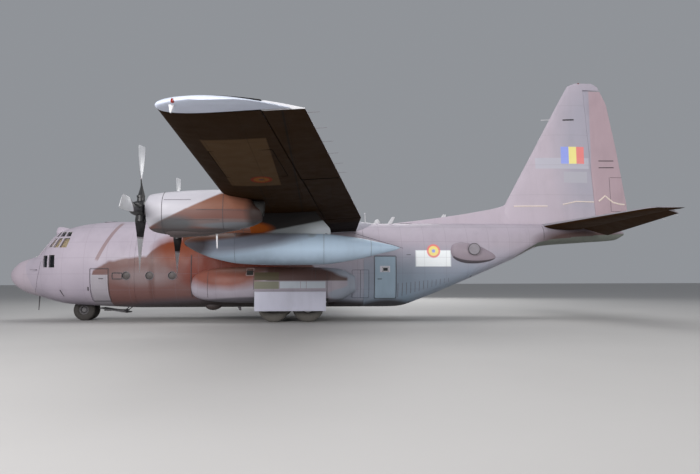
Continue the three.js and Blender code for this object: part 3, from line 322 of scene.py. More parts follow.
class Look:
    """Node material. Its places are in full-size metres, the same on both sides of the aircraft."""

    def __init__(self, name, colour, rough, metal=0.0):
        self.material = bpy.data.materials.new(name)
        self.material.use_nodes = True
        self.tree = self.material.node_tree
        self.shader = self.tree.nodes["Principled BSDF"]
        self.fill(self.shader, {"Metallic": metal, "Roughness": rough, "Base Color": (*colour, 1)})
        at_model = self.add("ShaderNodeTexCoord").outputs["Object"]
        full = {"Vector": at_model, "Location": (LENGTH_MIDDLE, 0, 0), "Scale": (1 / SCALE,) * 3}
        self.place = self.add("ShaderNodeMapping", full).outputs[0]
        self.folded = self.add("ShaderNodeVectorMath", {0: self.place}, operation="ABSOLUTE").outputs[0]
        self.axes = dict(zip("xyz", self.add("ShaderNodeSeparateXYZ", {0: self.folded}).outputs))
        self.colour = None
        self.height = None

    def add(self, kind, inputs=(), **settings):
        node = self.tree.nodes.new(kind)
        for key, value in settings.items():
            setattr(node, key, value)
        self.fill(node, dict(inputs))
        return node

    def fill(self, node, inputs):
        """Links a node's inputs to sockets, or sets them to values."""
        for key, value in inputs.items():
            if isinstance(value, bpy.types.NodeSocket):
                self.tree.links.new(value, node.inputs[key])
            else:
                node.inputs[key].default_value = value

    def sums(self, operation, first, second=0.0):
        return self.add("ShaderNodeMath", {0: first, 1: second}, operation=operation).outputs[0]

    def ranged(self, value, start, end, low=0.0, top=1.0):
        """Value brought from start..end to low..top."""
        inputs = {0: value, 1: start, 2: end, 3: low, 4: top}
        return self.add("ShaderNodeMapRange", inputs).outputs[0]

    def noise(self, scale, detail=4.0, low=0.3, high=0.7, stretch=(1, 1, 1)):
        """Noise brought to 0 to 1 between the two levels, stretched along the axes."""
        spread = self.add("ShaderNodeMapping", {"Vector": self.place, "Scale": stretch})
        inputs = {"Vector": spread.outputs[0], "Scale": scale, "Detail": detail}
        return self.ranged(self.add("ShaderNodeTexNoise", inputs).outputs[0], low, high)

    def share_in(self, mark):
        """1 inside a mark, falling to 0 over the soft share of its size."""
        spans = [(-WIDE, WIDE) if ends is None else ends for ends in (mark.x, mark.y, mark.z)]
        inputs = {
            "Vector": self.folded, "Location": [(low + top) / 2 for low, top in spans],
            "Rotation": (0, mark.turn, 0), "Scale": [(top - low) / 2 for low, top in spans],
        }
        local = self.add("ShaderNodeMapping", inputs, vector_type="TEXTURE").outputs[0]
        if mark.square:
            flat = self.add("ShaderNodeVectorMath", {0: local}, operation="ABSOLUTE").outputs[0]
            x, y, z = self.add("ShaderNodeSeparateXYZ", {0: flat}).outputs
            far = self.sums("MAXIMUM", self.sums("MAXIMUM", x, y), z)
        else:
            far = self.add("ShaderNodeVectorMath", {0: local}, operation="LENGTH").outputs["Value"]
        if mark.ragged:
            uneven = self.sums("MULTIPLY", self.noise(1.1, 5, 0.2, 0.8), mark.ragged)
            far = self.sums("ADD", far, uneven)
        return self.ranged(far, 1 + mark.soft, 1 - mark.soft)

    def share_under(self, line, soft, ragged):
        """1 below a line of (x, z) points, with an uneven edge."""
        line = np.array(line)
        first, last, top = line[0, 0], line[-1, 0], line[:, 1].max()
        curve = self.add("ShaderNodeFloatCurve", {"Value": self.ranged(self.axes["x"], first, last)})
        points = curve.mapping.curves[0].points
        for x, z in line[1:-1]:
            points.new((x - first) / (last - first), z / top)
        points[0].location = (0, line[0, 1] / top)
        points[len(points) - 1].location = (1, line[-1, 1] / top)
        for point in points:
            point.handle_type = "VECTOR"
        curve.mapping.update()
        over = self.sums("SUBTRACT", self.axes["z"], self.sums("MULTIPLY", curve.outputs[0], top))
        if ragged:
            uneven = self.sums("MULTIPLY", self.noise(0.9, 6, 0.2, 0.8), ragged)
            over = self.sums("ADD", over, uneven)
        return self.ranged(over, soft, -soft)

    def mix(self, share, colour, strength=1.0):
        """Lays a colour over what is there, by a share from 0 to 1."""
        if strength != 1.0:
            share = self.sums("MULTIPLY", share, strength)
        under = self.colour or tuple(self.shader.inputs["Base Color"].default_value)
        inputs = {0: share, 6: under, 7: (*colour, 1)}
        self.colour = self.add("ShaderNodeMix", inputs, data_type="RGBA").outputs[2]

    def lower(self, share, depth):
        """Adds to the bump height."""
        part = self.sums("MULTIPLY", share, -depth)
        self.height = part if self.height is None else self.sums("ADD", self.height, part)

    def finished(self, bump=1.0, rough=None):
        normal = None
        if self.height is not None:
            inputs = {"Strength": bump, "Distance": 1.0, "Height": self.height}
            normal = self.add("ShaderNodeBump", inputs).outputs[0]
        links = {"Base Color": self.colour, "Roughness": rough, "Normal": normal}
        self.fill(self.shader, {key: socket for key, socket in links.items() if socket is not None})
        return self.material


WIDE = 1000.0


class Mark(NamedTuple):
    """Painted or dirty place, or painted light and shade: its ranges along the axes, colour and kind of edge.
    """
    colour: tuple
    strength: float = 1.0
    x: tuple = None
    y: tuple = None
    z: tuple = None
    soft: float = 0.3
    square: bool = False
    turn: float = 0.0
    ragged: float = 0.0


def stamp(colour, x, z=None, y=None, strength=1.0, soft=0.01, turn=0.0):
    """Mark with square corners and clean edges."""
    return Mark(colour, strength, x, y, z, soft, True, turn)


def painted(name, colour, rough=0.5, lines=(), marks=(), shades=(), low=None, streak=0.3, gloss=0.3):
    """Weathered aircraft paint, with painted light and shade. lines are (axis, spacing) of panel lines,
    shades are (line, colour, soft, ragged) of fields of painted light and shade below a line, and low is
    (colour, height, soft) of what lies below a height."""
    look = Look(name, colour, rough)
    look.fill(look.shader, {"Specular IOR Level": gloss})
    dark = [c * 0.84 for c in colour]
    light = [min(1.0, c * 1.09) for c in colour]
    if low is not None:
        below, height, soft = low
        look.mix(look.ranged(look.axes["z"], height + soft, height - soft), below)
    look.mix(look.noise(0.55, 6), light, 0.5)
    look.mix(look.noise(1.7, 8, 0.45, 0.75, (1.0, 1.0, 0.5)), dark, 0.22)
    look.mix(look.noise(3.5, 5, 0.52, 0.8, (1.5, 1.5, 0.10)), dark, streak)
    for line, shade, soft, ragged in shades:
        look.mix(look.share_under(line, soft, ragged), shade, 0.95)
    for mark in marks:
        look.mix(look.share_in(mark), mark.colour, mark.strength)
    look.mix(look.noise(1.3, 7, 0.5, 0.8, (1.0, 1.0, 0.6)), (0.045, 0.036, 0.034), streak * 0.35)
    for axis, spacing in lines:
        saw = look.sums("PINGPONG", look.axes[axis], spacing / 2)
        line = look.ranged(saw, 0.012, 0.004)
        look.mix(line, [c * 0.45 for c in colour], 0.3)
        look.lower(line, 0.0012)
    look.lower(look.noise(130.0, 2, 0.2, 0.8), 0.00010)
    tone = look.noise(2.5, 5, 0.2, 0.8, (1, 1, 0.6))
    return look.finished(0.9, look.ranged(tone, 0, 1, rough - 0.08, rough + 0.1))


def plain(name, colour, rough, metal=0.0, grain=60.0, depth=0.0002, wear_and_sheen=0.2):
    """Small fittings: an even colour with fine grain and worn, lighter places, which on the portholes are a
    painted reflection.
    """
    look = Look(name, colour, rough, metal)
    look.mix(look.noise(9.0, 6, 0.45, 0.75), [min(1, c * 1.6 + 0.03) for c in colour], wear_and_sheen)
    look.mix(look.noise(3.0, 4, 0.4, 0.8), [c * 0.55 for c in colour], wear_and_sheen)
    look.lower(look.noise(grain, 3, 0.2, 0.8), depth)
    return look.finished()


def window_look():
    """Clear window: dark glass that lets most of the light through."""
    look = Look("window_glass", (0.02, 0.024, 0.03), 0.05)
    look.fill(look.shader, {"Alpha": 0.24})
    look.mix(look.noise(4.5, 5, 0.4, 0.8, (1, 1, 0.4)), (0.05, 0.05, 0.05), 0.35)
    return look.finished()


def glass(name, colour, rough, glow=0.0):
    look = Look(name, colour, rough)
    look.fill(look.shader, {"Transmission Weight": 0.55, "IOR": 1.45})
    if glow:
        look.fill(look.shader, {"Emission Color": (*colour, 1), "Emission Strength": glow})
    look.mix(look.noise(4.5, 5, 0.4, 0.8, (1, 1, 0.4)), [c * 0.5 for c in colour], 0.35)
    look.lower(look.noise(15.0, 2, 0.3, 0.7), 0.0001)
    return look.finished(0.4)


# Colours of the paint and of the painted shade

LILAC = (0.424, 0.376, 0.436)
BLUE_GREY = (0.240, 0.325, 0.415)
WARM_SHADE = (0.140, 0.062, 0.052)
ORANGE_SHADE = (0.140, 0.014, 0.001)
# Painted shade along the bottom of the fuselage and the sponsons
UNDERBODY_SHADE = (0.085, 0.080, 0.095)
DEEP_UNDERBODY_SHADE = (0.042, 0.032, 0.028)
# Painted shade of the wing's underside
UNDERSIDE_SHADE = (0.021, 0.009, 0.002)
STRIPE_BLUE = (0.30, 0.38, 0.90)
STRIPE_YELLOW = (0.95, 0.85, 0.28)
STRIPE_RED = (0.88, 0.22, 0.20)


def rings(x, z=None, y=None, radius=0.31, flat=1.0, shading=(1.0, 1.0, 1.0)):
    """Three plain rings, red outside, yellow and blue, on a side or, given y, on a wing, darkened by the
    given factors where they lie in painted shade.
    """
    marks = []
    for share, colour in ((1.0, STRIPE_RED), (0.74, STRIPE_YELLOW), (0.26, STRIPE_BLUE)):
        reach = radius * share
        axis, middle, wide = ("z", z, reach) if y is None else ("y", y, reach * flat)
        ends = {"x": (x - reach, x + reach), axis: (middle - wide, middle + wide)}
        marks.append(Mark([c * d for c, d in zip(colour, shading)], 0.9, soft=0.06, **ends))
    return marks


# Camera, light and floor


def add_object(name, data, place, turn):
    item = bpy.data.objects.new(name, data)
    item.matrix_world = Matrix.Translation(place) @ turn
    bpy.context.scene.collection.objects.link(item)
    return item


def make_camera():
    data = bpy.data.cameras.new("camera")
    data.sensor_width = 36.0
    data.lens = 32.951
    data.shift_y = -0.00436
    data.clip_start = 0.1
    data.clip_end = 500.0
    yaw, pitch, roll = 0.0391, 0.0726, -0.0028
    turn = Matrix.Rotation(-yaw, 4, "Z")
    for angle, axis in ((PI / 2 + pitch, "X"), (roll, "Z")):
        turn = turn @ Matrix.Rotation(angle, 4, axis)
    bpy.context.scene.camera = add_object("camera", data, (-0.043, -15.546, 0.916), turn)


def make_lights():
    # place, what it points at, size, power, colour
    lamps = [
        ((-9.0, -19.0, 6.5), (0.0, 0.0, 1.6), 8.0, 2900.0, (1.0, 0.98, 0.98)),
        ((12.0, -16.0, 5.0), (1.0, 0.0, 1.6), 8.0, 800.0, (1.0, 0.97, 0.94)),
        ((0.0, 2.0, 16.0), (0.0, 0.0, 0.0), 16.0, 1000.0, (1.0, 1.0, 1.0)),
        ((3.0, 17.0, 8.0), (0.0, 0.0, 1.5), 10.0, 900.0, (1.0, 1.0, 1.0)),
    ]
    for i, (place, aim, size, power, colour) in enumerate(lamps):
        data = bpy.data.lights.new(f"lamp_{i}", "AREA")
        data.shape = "DISK"
        data.size = size
        data.energy = power
        data.color = colour
        turn = (Vector(aim) - Vector(place)).to_track_quat("-Z", "Y").to_matrix().to_4x4()
        add_object(f"lamp_{i}", data, place, turn)


def make_floor():
    mesh = bpy.data.meshes.new("floor")
    reach = 150.0
    corners = [(x * reach, y * reach, 0) for x, y in ((-1, -1), (1, -1), (1, 1), (-1, 1))]
    mesh.from_pydata(corners, [], [(0, 1, 2, 3)])
    look = Look("pale_floor", (0.50, 0.49, 0.48), 0.85)
    look.mix(look.noise(0.4, 6), (0.44, 0.43, 0.42), 0.2)
    mesh.materials.append(look.finished())
    floor = bpy.data.objects.new("floor", mesh)
    bpy.context.scene.collection.objects.link(floor)
    world = bpy.data.worlds.new("studio")
    world.use_nodes = True
    sky = world.node_tree.nodes["Background"].inputs
    sky["Color"].default_value = (0.62, 0.65, 0.70, 1)
    sky["Strength"].default_value = 0.45
    bpy.context.scene.world = world
    bpy.context.scene.view_settings.view_transform = "Standard"


make_camera()
make_lights()
make_floor()


# Helpers for places on the aircraft


def steps(start, end, step):
    return np.linspace(start, end, max(2, int(round((end - start) / step)) + 1))


def fuselage(start, end, step, inset=0.0):
    """Solid stretch of the fuselage, with its skin moved in by the inset."""
    return loft(body_rings(steps(start, end, step), inset))


def rounded(corners, radius, count=4):
    """Outline of straight edges with its corners rounded, in any plane."""
    corners = np.asarray(corners, float)
    line = []
    for i, corner in enumerate(corners):
        before = corners[i - 1] - corner
        after = corners[(i + 1) % len(corners)] - corner
        start = corner + before / np.linalg.norm(before) * radius
        end = corner + after / np.linalg.norm(after) * radius
        for t in np.linspace(0, 1, count + 1):
            line.append((1 - t) ** 2 * start + 2 * t * (1 - t) * corner + t**2 * end)
    return np.array(line)


def prism(outline, depth):
    """Solid from an outline that is nearly flat, to the same depth on both sides of it."""
    outline = np.asarray(outline, float)
    normal = np.zeros(3)
    for a, b in zip(outline, np.roll(outline, -1, axis=0)):
        normal += np.cross(a, b)
    normal /= np.linalg.norm(normal)
    return loft([outline - normal * depth, outline + normal * depth])


def on_side(flat, side=-1, lift=0.0, skin=skin_y):
    """Points of the fuselage side, or of another skin, over (x, z) places."""
    return np.array([[x, side * skin(x, z, lift), z] for x, z in flat])


def rectangle(x, z, radius=0.05, count=4):
    corners = [(x[0], z[0]), (x[1], z[0]), (x[1], z[1]), (x[0], z[1])]
    return rounded(corners, radius, count)


def divided(line, step):
    """Points along an open line, with more of them on its long edges, without its last point."""
    dense = []
    for a, b in zip(line, line[1:]):
        parts = max(1, int(np.linalg.norm(b - a) / step))
        dense += [a + (b - a) * t / parts for t in range(parts)]
    return dense


def fine(outline, step=0.12):
    """The same closed outline with more points along its long edges."""
    outline = np.asarray(outline, float)
    return np.array(divided(np.vstack((outline, outline[:1])), step))


def circle(u, v, radius, count):
    around = np.linspace(0, 2 * PI, count, endpoint=False)
    return [(u + radius * math.cos(a), v + radius * math.sin(a)) for a in around]


def rim(outline, radius, sides=8):
    """Round bead along a closed line."""
    outline = np.asarray(outline, float)
    return pipe(np.vstack((outline, outline[:2])), radius, sides)


def bead(points, radius, side=-1, skin=skin_y, step=0.12):
    """Round bead along an open line of (x, z) places on a side."""
    points = np.asarray(points, float)
    return pipe(on_side([*divided(points, step), points[-1]], side, 0.0, skin), radius, 8)


def slab(x, z, lift, side=-1, skin=skin_y, depth=0.02):
    """Thin plate over a range of x and z that follows a skin."""
    heights = steps(*z, 0.08)
    rings = []
    for place in steps(*x, 0.12):
        outer = on_side([(place, height) for height in heights], side, lift, skin)
        inner = on_side([(place, height) for height in heights[::-1]], side, -depth, skin)
        rings.append(np.vstack((outer, inner)))
    return loft(rings)


def clipped(rings, low):
    return [np.column_stack((ring[:, :2], np.maximum(ring[:, 2], low))) for ring in rings]


HULL_MIDDLE = 2.4


def inward(centre, normal):
    """True for the faces of a hull that look at its middle line."""
    return normal.y * centre.y + normal.z * (centre.z - HULL_MIDDLE * SCALE) < 0


# Faces that look down, which get a painted shade on the wings and the tailplane
def facing_down(_, normal):
    return normal.z < -0.02


# Looks of the paint, with painted light and shade

GREEN_CABIN = (0.165, 0.180, 0.155)

# Upper edge of the warm painted shadow on the side, as a line of (x, z) points
HULL_LINE = [
    (4.40, 0.30), (4.42, 1.98), (4.52, 2.42), (4.86, 2.64), (5.25, 2.84), (5.61, 2.89), (6.85, 3.06),
    (7.10, 3.37), (7.45, 3.61), (7.81, 3.72), (10.5, 3.90), (13.5, 3.50), (14.6, 2.30), (15.2, 1.20),
    (15.6, 0.30),
]
# Painted light and shade: an orange-lit shadow by the nacelles, lighter and darker patches in the shadow
# field and the shade along the belly; also a paler stamp on the crew door's lower part and a slanted brown
# stripe above it.
HULL_MARKS = [
    Mark((0.175, 0.030, 0.004), 0.95, (7.2, 9.4), None, (2.5, 3.95), 0.35, ragged=0.2),
    Mark(ORANGE_SHADE, 1.0, (8.2, 12.9), None, (1.4, 3.25), 0.2, ragged=0.1),
    Mark((0.24, 0.205, 0.215), 0.55, (5.4, 8.2), None, (1.55, 2.45), 0.4, ragged=0.3),
    stamp((0.36, 0.345, 0.385), (4.42, 5.18), (0.5, 2.12), strength=0.85),
    Mark((0.10, 0.040, 0.032), 0.6, (6.93, 7.29), None, (1.0, 3.0), 0.3, ragged=0.3),
    stamp((0.215, 0.125, 0.110), (4.95, 5.11), (2.70, 4.60), strength=0.65, soft=0.06, turn=0.40),
    Mark(UNDERBODY_SHADE, 0.8, (3.6, 18.4), None, (-1.0, 1.12), 0.12),
    Mark(DEEP_UNDERBODY_SHADE, 0.85, (4.6, 20.8), None, (-1.0, 0.98), 0.10),
]
# Rear fuselage: a bluish lower side, a pale patch with the roundel, and painted shade along the belly and on
# the tail cone under the tailplane.
REAR_MARKS = [
    Mark((0.235, 0.305, 0.380), 0.65, (16.0, 21.5), None, (0.9, 2.9), 0.7),
    stamp((0.94, 0.98, 1.0), (18.97, 20.6), (2.46, 3.20), soft=0.04),
    *rings(19.80, 3.17),
    Mark((0.10, 0.10, 0.115), 0.7, (16.6, 23.5), None, (-0.6, 0.62), 0.5, turn=-0.12),
    Mark(DEEP_UNDERBODY_SHADE, 0.85, (16.0, 19.4), None, (-1.0, 0.98), 0.10),
    Mark((0.085, 0.040, 0.028), 0.9, (25.1, 30.2), None, (3.2, 4.25), 0.25),
]
PANEL_LINES = (("x", 1.02), ("z", 0.72))


def hull_look(name, marks, low=BLUE_GREY, low_height=1.9, low_soft=1.3):
    """Paint of the fuselage shells, cooler towards the bottom, with a warm painted shadow below a line."""
    shades = [(HULL_LINE, WARM_SHADE, 0.06, 0.25)]
    return painted(name, LILAC, 0.46, PANEL_LINES, marks, shades, (low, low_height, low_soft))


radome_look = painted("radome_paint", (0.425, 0.365, 0.415), 0.55, streak=0.15)
nose_mark = stamp((0.415, 0.36, 0.41), (-2.0, 1.62), (-3.0, 5.0), soft=0.004, turn=-0.45)
front_look = hull_look("front_paint_and_shade", [nose_mark, *HULL_MARKS], (0.255, 0.228, 0.275))
centre_look = hull_look("centre_paint_and_shade", HULL_MARKS)
rear_look = hull_look("rear_paint_and_shade", REAR_MARKS, BLUE_GREY, 2.5, 1.0)
door_marks = [stamp((0.62, 0.60, 0.66), (17.34, 17.79), (2.21, 2.49))]
door_look = painted("door_paint", (0.335, 0.435, 0.53), 0.5, marks=door_marks)
gear_door_look = painted("gear_door_paint", (0.50, 0.505, 0.60), 0.45)
cabin_look = plain("cabin_paint", GREEN_CABIN, 0.7)
# Near black: the insides of the exhausts, and painted shade in the main wheel wells and the sponson intakes.
dark_look = plain("dark_inside_and_shade", (0.020, 0.019, 0.018), 0.8)
black_look = plain("black_parts", (0.018, 0.018, 0.019), 0.45)
line_look = plain("dark_lines", (0.055, 0.050, 0.055), 0.6)
steel_look = plain("gear_steel", (0.36, 0.36, 0.37), 0.38, 0.75)
chrome_look = plain("piston_chrome", (0.62, 0.62, 0.63), 0.16, 1.0, wear_and_sheen=0.05)
gear_white_look = plain("gear_paint", (0.50, 0.49, 0.48), 0.42)
frame_look = plain("frame_paint", (0.42, 0.38, 0.42), 0.5)
fitting_look = plain("fitting_paint", (0.55, 0.55, 0.57), 0.42)
curtain_look = plain("curtain_cloth", (0.84, 0.66, 0.40), 0.9, grain=30.0, depth=0.001)
rim_look = plain("rim_paint", (0.15, 0.135, 0.15), 0.5)
glass_look = window_look()
dark_glass = glass("dark_glass", (0.055, 0.060, 0.068), 0.06)
# The lighter places on the dark porthole glass are a painted reflection.
porthole_look = plain("porthole_glass", (0.040, 0.028, 0.026), 0.5, grain=8.0, wear_and_sheen=0.5)
lamp_glass = glass("lamp_glass", (0.80, 0.80, 0.78), 0.10)
red_glass = glass("red_lamp_glass", (0.36, 0.02, 0.012), 0.12, 0.1)
green_glass = glass("green_lamp_glass", (0.02, 0.45, 0.12), 0.12, 0.3)

INSIDE = [(cabin_look, inward)]

# Fuselage

NOSE_WELL = box((2.75, 4.23), (-0.66, 0.66), (-1, 1.8))
MAIN_WELLS = both_sides(box((11.85, 14.85), (-2.76, -1.7), (-1, 1.7)))
MAIN_LINERS = both_sides(box((11.71, 14.99), (-2.72, -1.56), (0.7, 1.84)))
CREW_DOOR = dict(x=(4.4, 5.2), y=(-3.0, -1.28), z=(0.9, 2.38))
SIDE_DOOR = dict(x=(17.1, 18.05), y=(-3.0, -1.525), z=(1.0, 2.92))
DOOR_GAP = 0.014
RAMP_GAP = 0.032
SIDE_PANES = [
    # low front, low back, high front, high back, low height, high height
    (2.13, 2.35, 2.01, 2.29, 2.45, 3.01),
    (2.41, 2.72, 2.35, 2.67, 2.44, 3.03),
    (2.18, 2.41, 2.40, 2.58, 3.38, 3.81),
    (2.46, 2.76, 2.64, 2.89, 3.36, 3.81),
    (2.81, 3.19, 2.95, 3.27, 3.35, 3.81),
    (2.40, 2.60, 2.42, 2.59, 3.88, 4.13),
    (2.65, 2.92, 2.65, 2.92, 3.87, 4.12),
    (2.97, 3.25, 2.98, 3.23, 3.87, 4.11),
]
FRONT_PANES = [
    # inner y, outer y at the foot, outer y at the head, foot x, head x
    (0.04, 0.47, 0.42, 1.46, 2.04),
    (0.56, 1.00, 0.84, 1.62, 2.16),
]
PORTHOLES = [(6.00, 2.07, -1), (7.03, 2.07, -1), (8.03, 2.07, -1), (7.03, 2.07, 1), (8.03, 2.07, 1)]
PORTHOLE_RADIUS = 0.17


def pane_outlines():
    """Rounded outlines of the cockpit panes of the left side and, mirrored, of the right."""
    lines = []
    for low_front, low_back, high_front, high_back, low, high_edge in SIDE_PANES:
        flat = [(low_front, low), (low_back, low), (high_back, high_edge), (high_front, high_edge)]
        lines.append(rounded(on_side(flat), 0.035))
    for inner, foot_y, head_y, foot, head in FRONT_PANES:
        flat = [(foot, inner), (foot, foot_y), (head, head_y), (head, inner)]
        lines.append(rounded([(x, -y, skin_z(x, y)) for x, y in flat], 0.035))
    return lines + [line * [1, -1, 1] for line in lines]


def opening(door, gap=0.0):
    return box(*[(low + gap, top - gap) for low, top in (door["x"], door["y"], door["z"])])


def porthole_cutters():
    inner, outer = 1.6, 2.6
    return [
        rod((x, side * inner, z), (x, side * outer, z), PORTHOLE_RADIUS, sides=28) for x, z, side in PORTHOLES
    ]


def make_radome():
    tip = [0.0, 0.012, 0.03, 0.06, 0.10, 0.16, 0.24, 0.34]
    places = np.concatenate((tip, steps(0.46, RADOME_END, 0.1)))
    piece("radome", loft(body_rings(places)), radome_look, slot="radome_paint", replaces=["radome"])


def make_front():
    skin = fuselage(RADOME_END + SEAM, FRONT_END - SEAM, 0.1)
    cockpit = loft(clipped(body_rings(steps(1.42, 4.47, 0.15), WALL), 2.0))
    entry = loft(clipped(body_rings(steps(4.37, 6.6, 0.2), WALL), 1.03))
    panes = [prism(line, 0.3) for line in pane_outlines()]
    holes = merge(cockpit, entry, NOSE_WELL, opening(CREW_DOOR), *panes, *porthole_cutters()[:1])
    piece("fuselage_front", skin, front_look, replaces=["fuselage_front"], cut=holes, others=INSIDE)
    glass_band = fuselage(1.42, 3.62, 0.1, 0.06)
    inner_band = fuselage(1.2, 3.8, 0.1, 0.10)
    piece(
        "cockpit_glass", glass_band, glass_look, slot="window_glass", replaces=["cockpit_glazing"],
        keep=box((1.42, 3.62), (-3, 3), (2.38, 5)), cut=inner_band,
    )
    piece("pane_rims", merge(*[rim(fine(line), 0.013) for line in pane_outlines()]), frame_look)
    door = fuselage(4.2, 5.4, 0.1)
    piece(
        "crew_door_panel", door, front_look, body="crew_door", replaces=["crew_door"],
        keep=opening(CREW_DOOR, DOOR_GAP), cut=fuselage(4.1, 5.5, 0.1, WALL),
        others=INSIDE,
    )


def make_centre():
    skin = fuselage(FRONT_END + SEAM, CENTRE_END - SEAM, 0.3)
    hold = fuselage(6.2, 16.8, 0.5, WALL)
    holes = merge(hold, MAIN_WELLS, *porthole_cutters()[1:])
    piece(
        "fuselage_centre", skin, centre_look, replaces=["fuselage_centre"], cut=holes, others=INSIDE,
    )
    # Near-black walls of the main wheel wells: painted shade in the recesses.
    piece("main_wells", MAIN_LINERS, dark_look, cut=MAIN_WELLS, bevel=0.01)
    glasses, rims = [], []
    edge = PORTHOLE_RADIUS + 0.01
    profile = [(1e-4, 0), (edge, 0), (edge, 0.012), (0.12, 0.022), (1e-4, 0.026)]
    for x, z, side in PORTHOLES:
        centre = np.array([x, side * (skin_y(x, z) - 0.05), z])
        glasses.append(turned(profile, centre, (0, side, 0), 32))
        rims.append(rim(on_side(circle(x, z, PORTHOLE_RADIUS + 0.012, 32), side), 0.014))
    piece("porthole_glass", merge(*glasses), porthole_look, slot="window_glass")
    piece("porthole_rims", merge(*rims), rim_look)


RAMP = dict(start=18.7, half=1.53, split_x=21.7, split_z=1.93, lean=0.66, thick=0.30)
AFT_DOOR = dict(end=24.9, end_half=0.92)


def split_x(z):
    return RAMP["split_x"] - RAMP["lean"] * (z - RAMP["split_z"])


def body_row(x):
    """Half width, bottom, widest height, top and the two powers at one place."""
    return smooth_rows(BODY, [x])[0]


def ramp_room(gap):
    half = RAMP["half"] - gap
    start = RAMP["start"]

    def under(x):
        return body_row(x)[1] - 0.2

    def over(x):
        return body_row(x)[1] + RAMP["thick"] - gap

    low, high = under(RAMP["split_x"]), over(21.5)
    outline = [
        (start + gap, under(start)), (split_x(low) - gap, low),
        (split_x(high) - gap, high), (start + gap, over(start)),
    ]
    return loft([[(x, y, z) for x, z in outline] for y in (-half, half)])


def aft_door_room(gap):
    def half_at(x):
        share = (x - RAMP["split_x"]) / (AFT_DOOR["end"] - RAMP["split_x"])
        return RAMP["half"] + share * (AFT_DOOR["end_half"] - RAMP["half"]) - gap

    below, over = 0.3, 2.75
    under = body_row(RAMP["split_x"])[1] - below
    end = AFT_DOOR["end"] - gap
    outline = [
        (split_x(under) + gap, under), (end, body_row(end)[1] - below),
        (end, body_row(end)[2] - 0.1), (split_x(over) + gap, over),
    ]
    return loft([[(x, side * half_at(x), z) for x, z in outline] for side in (-1, 1)])


def make_rear():
    places = np.concatenate((steps(CENTRE_END + SEAM, 29.1, 0.2), [29.25, 29.4, 29.52, BODY_END]))
    skin = loft(body_rings(places))
    hold = fuselage(CENTRE_END - 0.2, 25.0, 0.25, WALL)
    doorways = both_sides(opening(SIDE_DOOR))
    piece(
        "fuselage_rear", skin, rear_look, slot="tail_paint", replaces=["fuselage_rear"],
        cut=merge(hold, ramp_room(0), aft_door_room(0), doorways), others=INSIDE,
    )
    piece(
        "cargo_ramp_panel", fuselage(18.3, 22.0, 0.15), rear_look, body="cargo_ramp",
        replaces=["cargo_ramp"], keep=ramp_room(RAMP_GAP), bevel=0.012,
    )
    piece(
        "cargo_door_panel", fuselage(21.0, 26.0, 0.15), rear_look, body="cargo_door",
        slot="tail_paint", replaces=["cargo_door"], keep=aft_door_room(DOOR_GAP),
        cut=fuselage(20.5, 26.4, 0.15, WALL - 0.02),
    )
    for side, word in SIDES:
        room, door = opening(SIDE_DOOR, 0.010), fuselage(16.8, 18.4, 0.1)
        piece(
            f"side_door_panel_{word}", door, door_look, slot="tail_paint", replaces=[f"side_door_{word}"],
            keep=sided(room, side), cut=fuselage(16.6, 18.6, 0.1, WALL),
            others=INSIDE,
        )


make_radome()
make_front()
make_centre()
make_rear()

# Wing

WING = dict(
    joint=5.59, root_chord=4.88, tip_chord=2.62, front=11.41, front_slope=0.0209, height=4.25,
    rise=math.tan(math.radians(2.5)), tilt=math.radians(3), root_thick=0.18, tip_thick=0.12,
    camber=0.02, hinge=0.72,
)
HALF_SPAN = 20.2
TAIL_EDGE = 0.012
HINGE_GAP = 0.020
END_CLEAR = 0.045
FLAP_INNER = (2.45, 5.59)
FLAP_OUTER = (5.59, 13.0)
AILERON = (13.0, 19.2)
FLAP_SWING, AILERON_SWING, RUDDER_SWING, ELEVATOR_SWING = (math.radians(a) for a in (15, 28, 38, 43))


def half_foil(f):
    f = np.asarray(f, float)
    return 5 * (0.2969 * np.sqrt(f) - 0.126 * f - 0.3516 * f**2 + 0.2843 * f**3 - 0.1015 * f**4)


def wing_at(y):
    far = abs(y)
    outward, share = max(0.0, (far - WING["joint"]) / (HALF_SPAN - WING["joint"])), far / HALF_SPAN
    return dict(
        y=y,
        chord=WING["root_chord"] + outward * (WING["tip_chord"] - WING["root_chord"]),
        front=WING["front"] + WING["front_slope"] * max(0.0, far - WING["joint"]),
        height=WING["height"] + far * WING["rise"],
        tilt=WING["tilt"] * (1 - share),
        thick=WING["root_thick"] + share * (WING["tip_thick"] - WING["root_thick"]),
    )


def foil(s, f, side):
    """Points of a wing section at shares f of its chord: side is 1 on top, -1 below, 0 half way."""
    f = np.asarray(f, float)
    camber = WING["camber"] * 4 * f * (1 - f) * s["chord"]
    half = np.maximum(half_foil(f) * s["thick"] * s["chord"], TAIL_EDGE / 2)
    lift = math.sin(s["tilt"]) * (0.25 - f) * s["chord"]
    height = s["height"] + camber + lift + side * half
    return points_at(s["front"] + f * s["chord"], s["y"], height)


def nose_arc(hinge, radius, swing=0.0, count=12):
    angles = np.linspace(PI / 2 + swing, 3 * PI / 2 - swing, count + 1)
    return hinge[0] + radius * np.cos(angles), hinge[1] + radius * np.sin(angles)


def wing_hinge(s):
    x, _, z = foil(s, [WING["hinge"]], 0)[0]
    return (x, z), float(half_foil(WING["hinge"]) * s["thick"] * s["chord"])


def wing_ring(y, swing=None):
    """Section of the fixed wing, with a cove for a hinged surface where swing is given."""
    s = wing_at(y)
    (hinge, radius), back = wing_hinge(s), 1.0
    if swing is not None:
        back = WING["hinge"] - (radius + HINGE_GAP) * math.sin(swing) / s["chord"]
    f = back * np.linspace(0, 1, 24) ** 2
    ring = [foil(s, f[::-1], 1), foil(s, f[1:], -1)]
    if swing is not None:
        x, z = nose_arc(hinge, radius + HINGE_GAP, swing)
        ring.append(points_at(x, y, z)[::-1])
    return np.vstack(ring)


